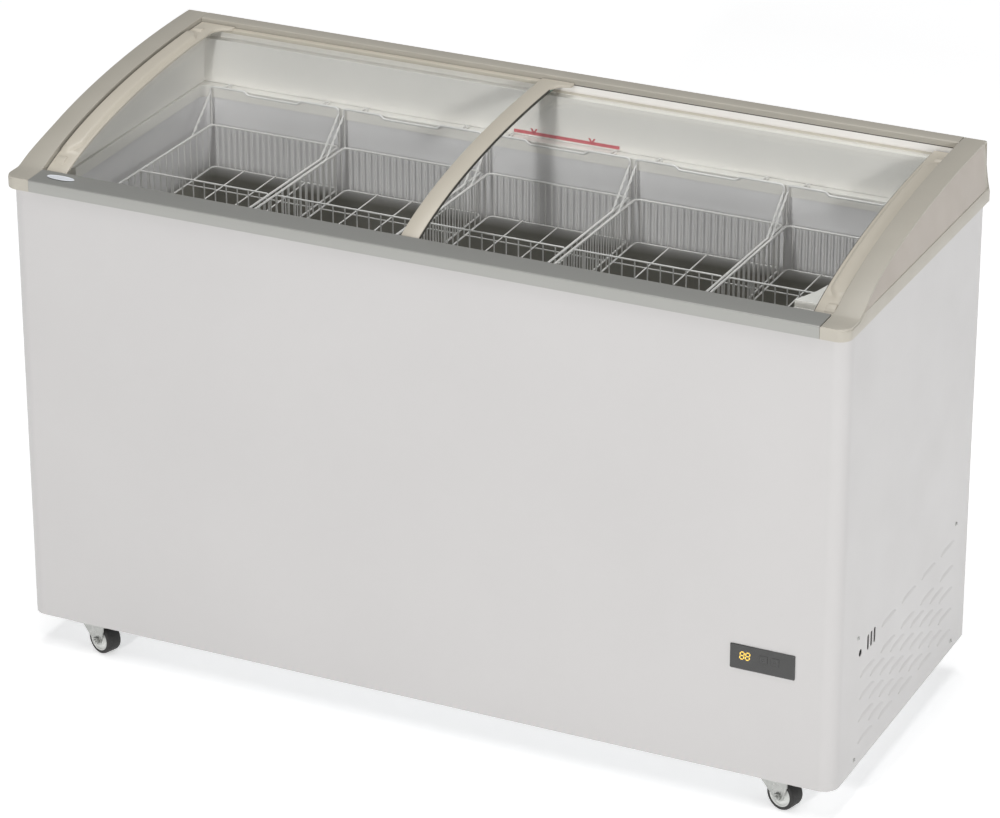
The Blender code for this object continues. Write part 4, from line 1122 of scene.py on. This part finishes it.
def make_load_line():
    """Red film on the rear wall: a bar with two arrowheads that point down to it."""
    z = LOAD_LINE_Z

    def wall(height):
        share = (height - REAR_RAIL_LOW.z) / THROAT_RISE
        return THROAT_LOW_Y + share * (THROAT_HIGH_Y - THROAT_LOW_Y) - 0.0006

    def strip(bm, points):
        near = [bm.verts.new((x, wall(h), h)) for x, h in points]
        far = [bm.verts.new((x, wall(h) + 0.0004, h)) for x, h in points]
        bm.faces.new(near)
        bm.faces.new(list(reversed(far)))
        for i in range(len(points)):
            j = (i + 1) % len(points)
            bm.faces.new((near[i], near[j], far[j], far[i]))
    bm = bmesh.new()
    (x0, x1), top = LOAD_LINE_X, z + LOAD_LINE_TALL
    strip(bm, [(x0, z), (x1, z), (x1, top), (x0, top)])
    for x in LOAD_ARROWS_X:
        strip(bm, [(x, z + 0.0005), (x + 0.0064, z + 0.0105), (x + 0.0030, z + 0.0105),
                   (x, z + 0.0058), (x - 0.0030, z + 0.0105), (x - 0.0064, z + 0.0105)])
    make("load_line", bm, "load_line", "cabinet", "frame_plastic")


# ---------------- control panel

# Ends of the seven segments of a digit, in half widths and quarter heights from its middle.
SEGMENTS = (
    ((-1, 2), (1, 2)), ((-1, 0), (1, 0)), ((-1, -2), (1, -2)), ((-1, 0), (-1, 2)),
    ((1, 0), (1, 2)), ((-1, -2), (-1, 0)), ((1, -2), (1, 0)),
)
FACE_CORNER_R, KEY_GAP = 0.0022, 0.0003
DIGITS_X, DIGITS_Z = (0.5452, 0.5542), 0.2610
PRINT_R = 0.00028


def make_display():
    """Gloss face with rounded corners, a lit two-digit read-out and faint key symbols."""
    low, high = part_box("display_bezel")
    face = low.y
    bm = bmesh.new()
    rings = []
    for inset, y in ((0.0, FRONT - 0.0003), (0.0, face + 0.0007), (0.0005, face + 0.0002),
                     (0.0012, face + 0.0001)):
        outline = rounded_box(low.x + inset, low.z + inset, high.x - inset, high.z - inset,
                              FACE_CORNER_R, 6)
        rings.append([(x, y, z) for x, z in outline])
    loft(bm, rings)
    plate = make("display_face", bm, "black_gloss", "cabinet", "black_gloss", ["display_bezel"])
    cutters = bmesh.new()
    for key in ("key_set", "key_mode"):
        a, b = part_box(key)
        outline = rounded_box(a.x - KEY_GAP, a.z - KEY_GAP, b.x + KEY_GAP, b.z + KEY_GAP, 0.001)
        extrude(cutters, outline, "y", face - 0.01, FRONT + 0.001)
        dress(key, "black_gloss", 0.0006)
    bake(plate, cutters)

    bm = bmesh.new()
    wide, tall, thick, lean = 0.0031, 0.0030, 0.0008, 0.10
    end_gap, cz = 0.0006, DIGITS_Z
    for cx in DIGITS_X:
        for (ax, az), (bx, bz) in SEGMENTS:
            a = Vector((cx + ax * wide, cz + az * tall))
            b = Vector((cx + bx * wide, cz + bz * tall))
            along = (b - a).normalized()
            across = Vector((-along.y, along.x)) * thick
            a, b = a + along * end_gap, b - along * end_gap
            outline = [a, a + along * thick + across, b - along * thick + across, b,
                       b - along * thick - across, a + along * thick - across]
            outline = [(x + (z - cz) * lean, z) for x, z in outline]
            extrude(bm, outline, "y", face - 0.00018, face + 0.0002)
    make("display_digits", bm, "amber", "cabinet", "black_gloss", sharp=20)

    for key in ("key_set", "key_mode"):
        a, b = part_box(key)
        c = (a + b) / 2
        y = a.y - 0.00012

        def drawn(points):
            return [(c.x + x, y, c.z + z) for x, z in points]

        def arc(radius, start, end, count):
            angles = steps(math.radians(start), math.radians(end), count)
            return drawn((radius * math.cos(t), radius * math.sin(t)) for t in angles)
        bm = bmesh.new()
        if key == "key_set":
            tube(bm, arc(0.0042, -210, 30, 24), PRINT_R, 6)
            tube(bm, drawn([(-0.0016, 0.0004), (0.0, -0.0014), (0.0016, 0.0004)]), PRINT_R, 6)
        else:
            tube(bm, drawn([(0.0030, 0.0048), (0.0030, -0.0048)]), PRINT_R, 6)
            tube(bm, arc(0.0035, 60, 300, 20), PRINT_R, 6)
        make(f"{key}_symbol", bm, "icon", key, "black_gloss")


# ---------------- castors

WHEEL_R, WHEEL_HALF_W = 0.025, 0.014
TYRE_INNER_R = 0.0192


def castor_frame(corner):
    """Matrix from the axle's own axes to the freezer's: local Z along the axle, origin at its middle."""
    roll = JOINTS[f"{corner}_roll"]
    axle = Vector(roll["axis"]).normalized()
    along = Vector((axle.y, -axle.x, 0.0))
    rotation = Matrix((along, Vector((0, 0, 1)), axle)).transposed().to_4x4()
    return Matrix.Translation(Vector(roll["pos_m"])) @ rotation


def make_castor(corner):
    """Pressed fork under a ball race, a tyred wheel and the bolt through both."""
    place = castor_frame(corner)
    radius, half = WHEEL_R, WHEEL_HALF_W
    pivot = Vector(JOINTS[f"{corner}_swivel"]["pos_m"])

    tread = [(TYRE_INNER_R, half - 0.0010), (0.0205, half - 0.0004), (0.0228, half - 0.0006),
             (0.0243, half - 0.0016), (radius, half - 0.0034), (radius, half - 0.0060)]
    tread += [(radius, 0.0)] + [(r, -z) for r, z in reversed(tread)]
    make_turned(f"{corner}_tyre", tread + [(TYRE_INNER_R, half - 0.0010)], place, 64,
                "tyre", f"{corner}_wheel", "tyre", [f"{corner}_wheel"])
    web = [(0.0036, half), (0.0098, half), (0.0106, half - 0.0008), (0.0112, half - 0.0032),
           (0.0166, half - 0.0032), (0.0176, half - 0.0012), (0.0191, half - 0.0008)]
    web += [(r, -z) for r, z in reversed(web)]
    make_turned(f"{corner}_hub", web + [(0.0036, half)], place, 64, "hub", f"{corner}_wheel", "tyre")

    bm = bmesh.new()
    end = half + 0.0036
    shaft = [(0.0, end + 0.0030), (0.0024, end + 0.0030), (0.0030, end + 0.0024), (0.0030, -end - 0.0060),
             (0.0025, -end - 0.0068), (0.0, -end - 0.0068)]
    turn(bm, shaft, place, 28)
    for z0, z1, flat in ((end, end + 0.0022, 0.0056), (-end - 0.0040, -end, 0.0054)):
        corner_r = flat / math.cos(math.pi / 6)
        nut = circle(0, 0, corner_r, corner_r, 6, 0.2)
        rings = []
        for shrink, z in ((0.93, z0), (1.0, z0 + 0.0005), (1.0, z1 - 0.0005), (0.93, z1)):
            rings.append([place @ Vector((x * shrink, y * shrink, z)) for x, y in nut])
        loft(bm, rings)
    make(f"{corner}_bolt", bm, "zinc", f"{corner}_castor", "zinc", [f"{corner}_axle"], sharp=25)

    fork = dress(f"{corner}_fork", "zinc", 0.0006)
    fork.modifiers["rounding"].segments = 3
    dress(f"{corner}_castor_plate", "zinc", 0.0004)
    middle = Matrix.Translation((pivot.x, pivot.y, 0.0))
    race = [(0.0, 0.0559), (0.0165, 0.0559), (0.0195, 0.0553), (0.0205, 0.0540), (0.0205, 0.0525),
            (0.0190, 0.0518), (0.0, 0.0518)]
    make_turned(f"{corner}_race", race, middle, 40, "zinc", f"{corner}_castor", "zinc")
    bolt = [(0.0, 0.0514), (0.0052, 0.0514), (0.0062, 0.0505), (0.0062, 0.0515), (0.0, 0.0520)]
    make_turned(f"{corner}_rivet", bolt, middle, 24, "zinc", f"{corner}_castor", "zinc")


# ---------------- studio

CAMERA_AT = (2.6968, -5.6591, 3.3549)
CAMERA_AZIMUTH, CAMERA_ELEVATION, CAMERA_ROLL = 25.406, 24.961, -0.084
CAMERA_LENS = 157.82
LIGHT_TARGET_Z = 0.6


def make_camera():
    data = bpy.data.cameras.new("camera")
    data.lens = CAMERA_LENS
    data.sensor_width = 36.0
    camera = add_object("camera", data)
    turned = (
        Matrix.Rotation(math.radians(CAMERA_AZIMUTH), 4, "Z")
        @ Matrix.Rotation(math.radians(90 - CAMERA_ELEVATION), 4, "X")
        @ Matrix.Rotation(math.radians(CAMERA_ROLL), 4, "Z")
    )
    camera.matrix_world = Matrix.Translation(CAMERA_AT) @ turned
    data.clip_end = 100.0
    bpy.context.scene.camera = camera


def make_light(name, azimuth, elevation, distance, size, power):
    """Square soft light aimed at the freezer's upper half."""
    data = bpy.data.lights.new(name, "AREA")
    data.size = size
    data.energy = power
    light = add_object(name, data)
    a, e = math.radians(azimuth), math.radians(elevation)
    away = Vector((math.sin(a) * math.cos(e), -math.cos(a) * math.cos(e), math.sin(e)))
    target = Vector((0, 0, LIGHT_TARGET_Z))
    light.location = target + away * distance
    light.rotation_mode = "QUATERNION"
    light.rotation_quaternion = away.to_track_quat("Z", "Y")


def make_world():
    """Pale sky, brighter near the horizon than overhead."""
    world = bpy.data.worlds.new("studio")
    bpy.context.scene.world = world
    world.use_nodes = True
    tree = world.node_tree
    sky = tree.nodes["Background"]
    direction = tree.nodes.new("ShaderNodeTexCoord")
    split = tree.nodes.new("ShaderNodeSeparateXYZ")
    ramp = tree.nodes.new("ShaderNodeValToRGB")
    tree.links.new(direction.outputs["Generated"], split.inputs[0])
    tree.links.new(split.outputs["Z"], ramp.inputs["Fac"])
    ramp.color_ramp.elements[0].position = 0.05
    ramp.color_ramp.elements[0].color = (1.0, 1.0, 1.0, 1.0)
    ramp.color_ramp.elements[1].position = 0.75
    ramp.color_ramp.elements[1].color = (0.46, 0.47, 0.48, 1.0)
    tree.links.new(ramp.outputs["Color"], sky.inputs["Color"])
    put(sky, Strength=0.27)


def make_floor():
    """Pale floor that glows slightly, so that it stays even."""
    bm = bmesh.new()
    bmesh.ops.create_grid(bm, x_segments=1, y_segments=1, size=40.0)
    mesh = mesh_from("floor", bm)
    floor = add_object("floor", mesh)
    shader = Shader("floor")
    put(shader.bsdf, Base_Color=(0.9, 0.9, 0.9, 1.0), Roughness=1.0, Specular_IOR_Level=0.0,
        Emission_Color=(1.0, 1.0, 1.0, 1.0), Emission_Strength=0.46)
    mesh.materials.append(shader.material)
    floor.location.z = -0.0005


# ---------------- assembly

DRESSED = {
    "base_pan": ("galvanised", 0.0), "compressor_tray": ("galvanised", 0.0),
    "foam_insulation": ("foam", 0.0), "inner_liner": ("liner", 0.0),
    "evaporator_wrap": ("aluminium", 0.0), "front_track": ("frame", 0.0),
    "front_basket_rail": ("zinc", 0.0), "compressor": ("black_paint", 0.002),
    "condenser": ("black_paint", 0.0), "fan_shroud": ("galvanised", 0.0),
    "fan_motor": ("black_paint", 0.001), "fan_blade": ("aluminium", 0.0),
    "filter_drier": ("copper", 0.0), "controller_box": ("black_plastic", 0.001),
    "power_inlet": ("black_plastic", 0.0004), "drain_spout": ("black_plastic", 0.0),
    "drain_cap": ("black_plastic", 0.0004),
}

bpy.context.scene.view_settings.view_transform = "Standard"
make_camera()
make_cabinet()
make_louvre_hoods()
make_rear_details()
make_front_rail()
make_rear_rail()
for label, sign in (("left", -1), ("right", 1)):
    make_end_frame(f"{label}_end_cap", f"{label}_end_frame", sign)
    make_side_insert(f"{label}_side_insert", sign)
    make_lid_track(f"{label}_lid_track", sign)
make_throat()
make_badge()
make_lids()
make_baskets()
make_load_line()
make_display()
for castor in ("front_left", "front_right", "rear_left", "rear_right"):
    make_castor(castor)
for node_name, (finish_key, rounding_width) in DRESSED.items():
    dress(node_name, finish_key, rounding_width)
make_world()
make_floor()
make_light("key", -1, 19.8, 8.5, 0.45, 208.0)
make_light("low", 24, 7.6, 8.0, 0.50, 102.0)
make_light("side", 80, 25, 5.0, 2.5, 58.0)
make_light("top_rear", 180, 80, 9.0, 5.0, 302.0)
make_light("top_front", 0, 68, 6.0, 3.5, 88.0)
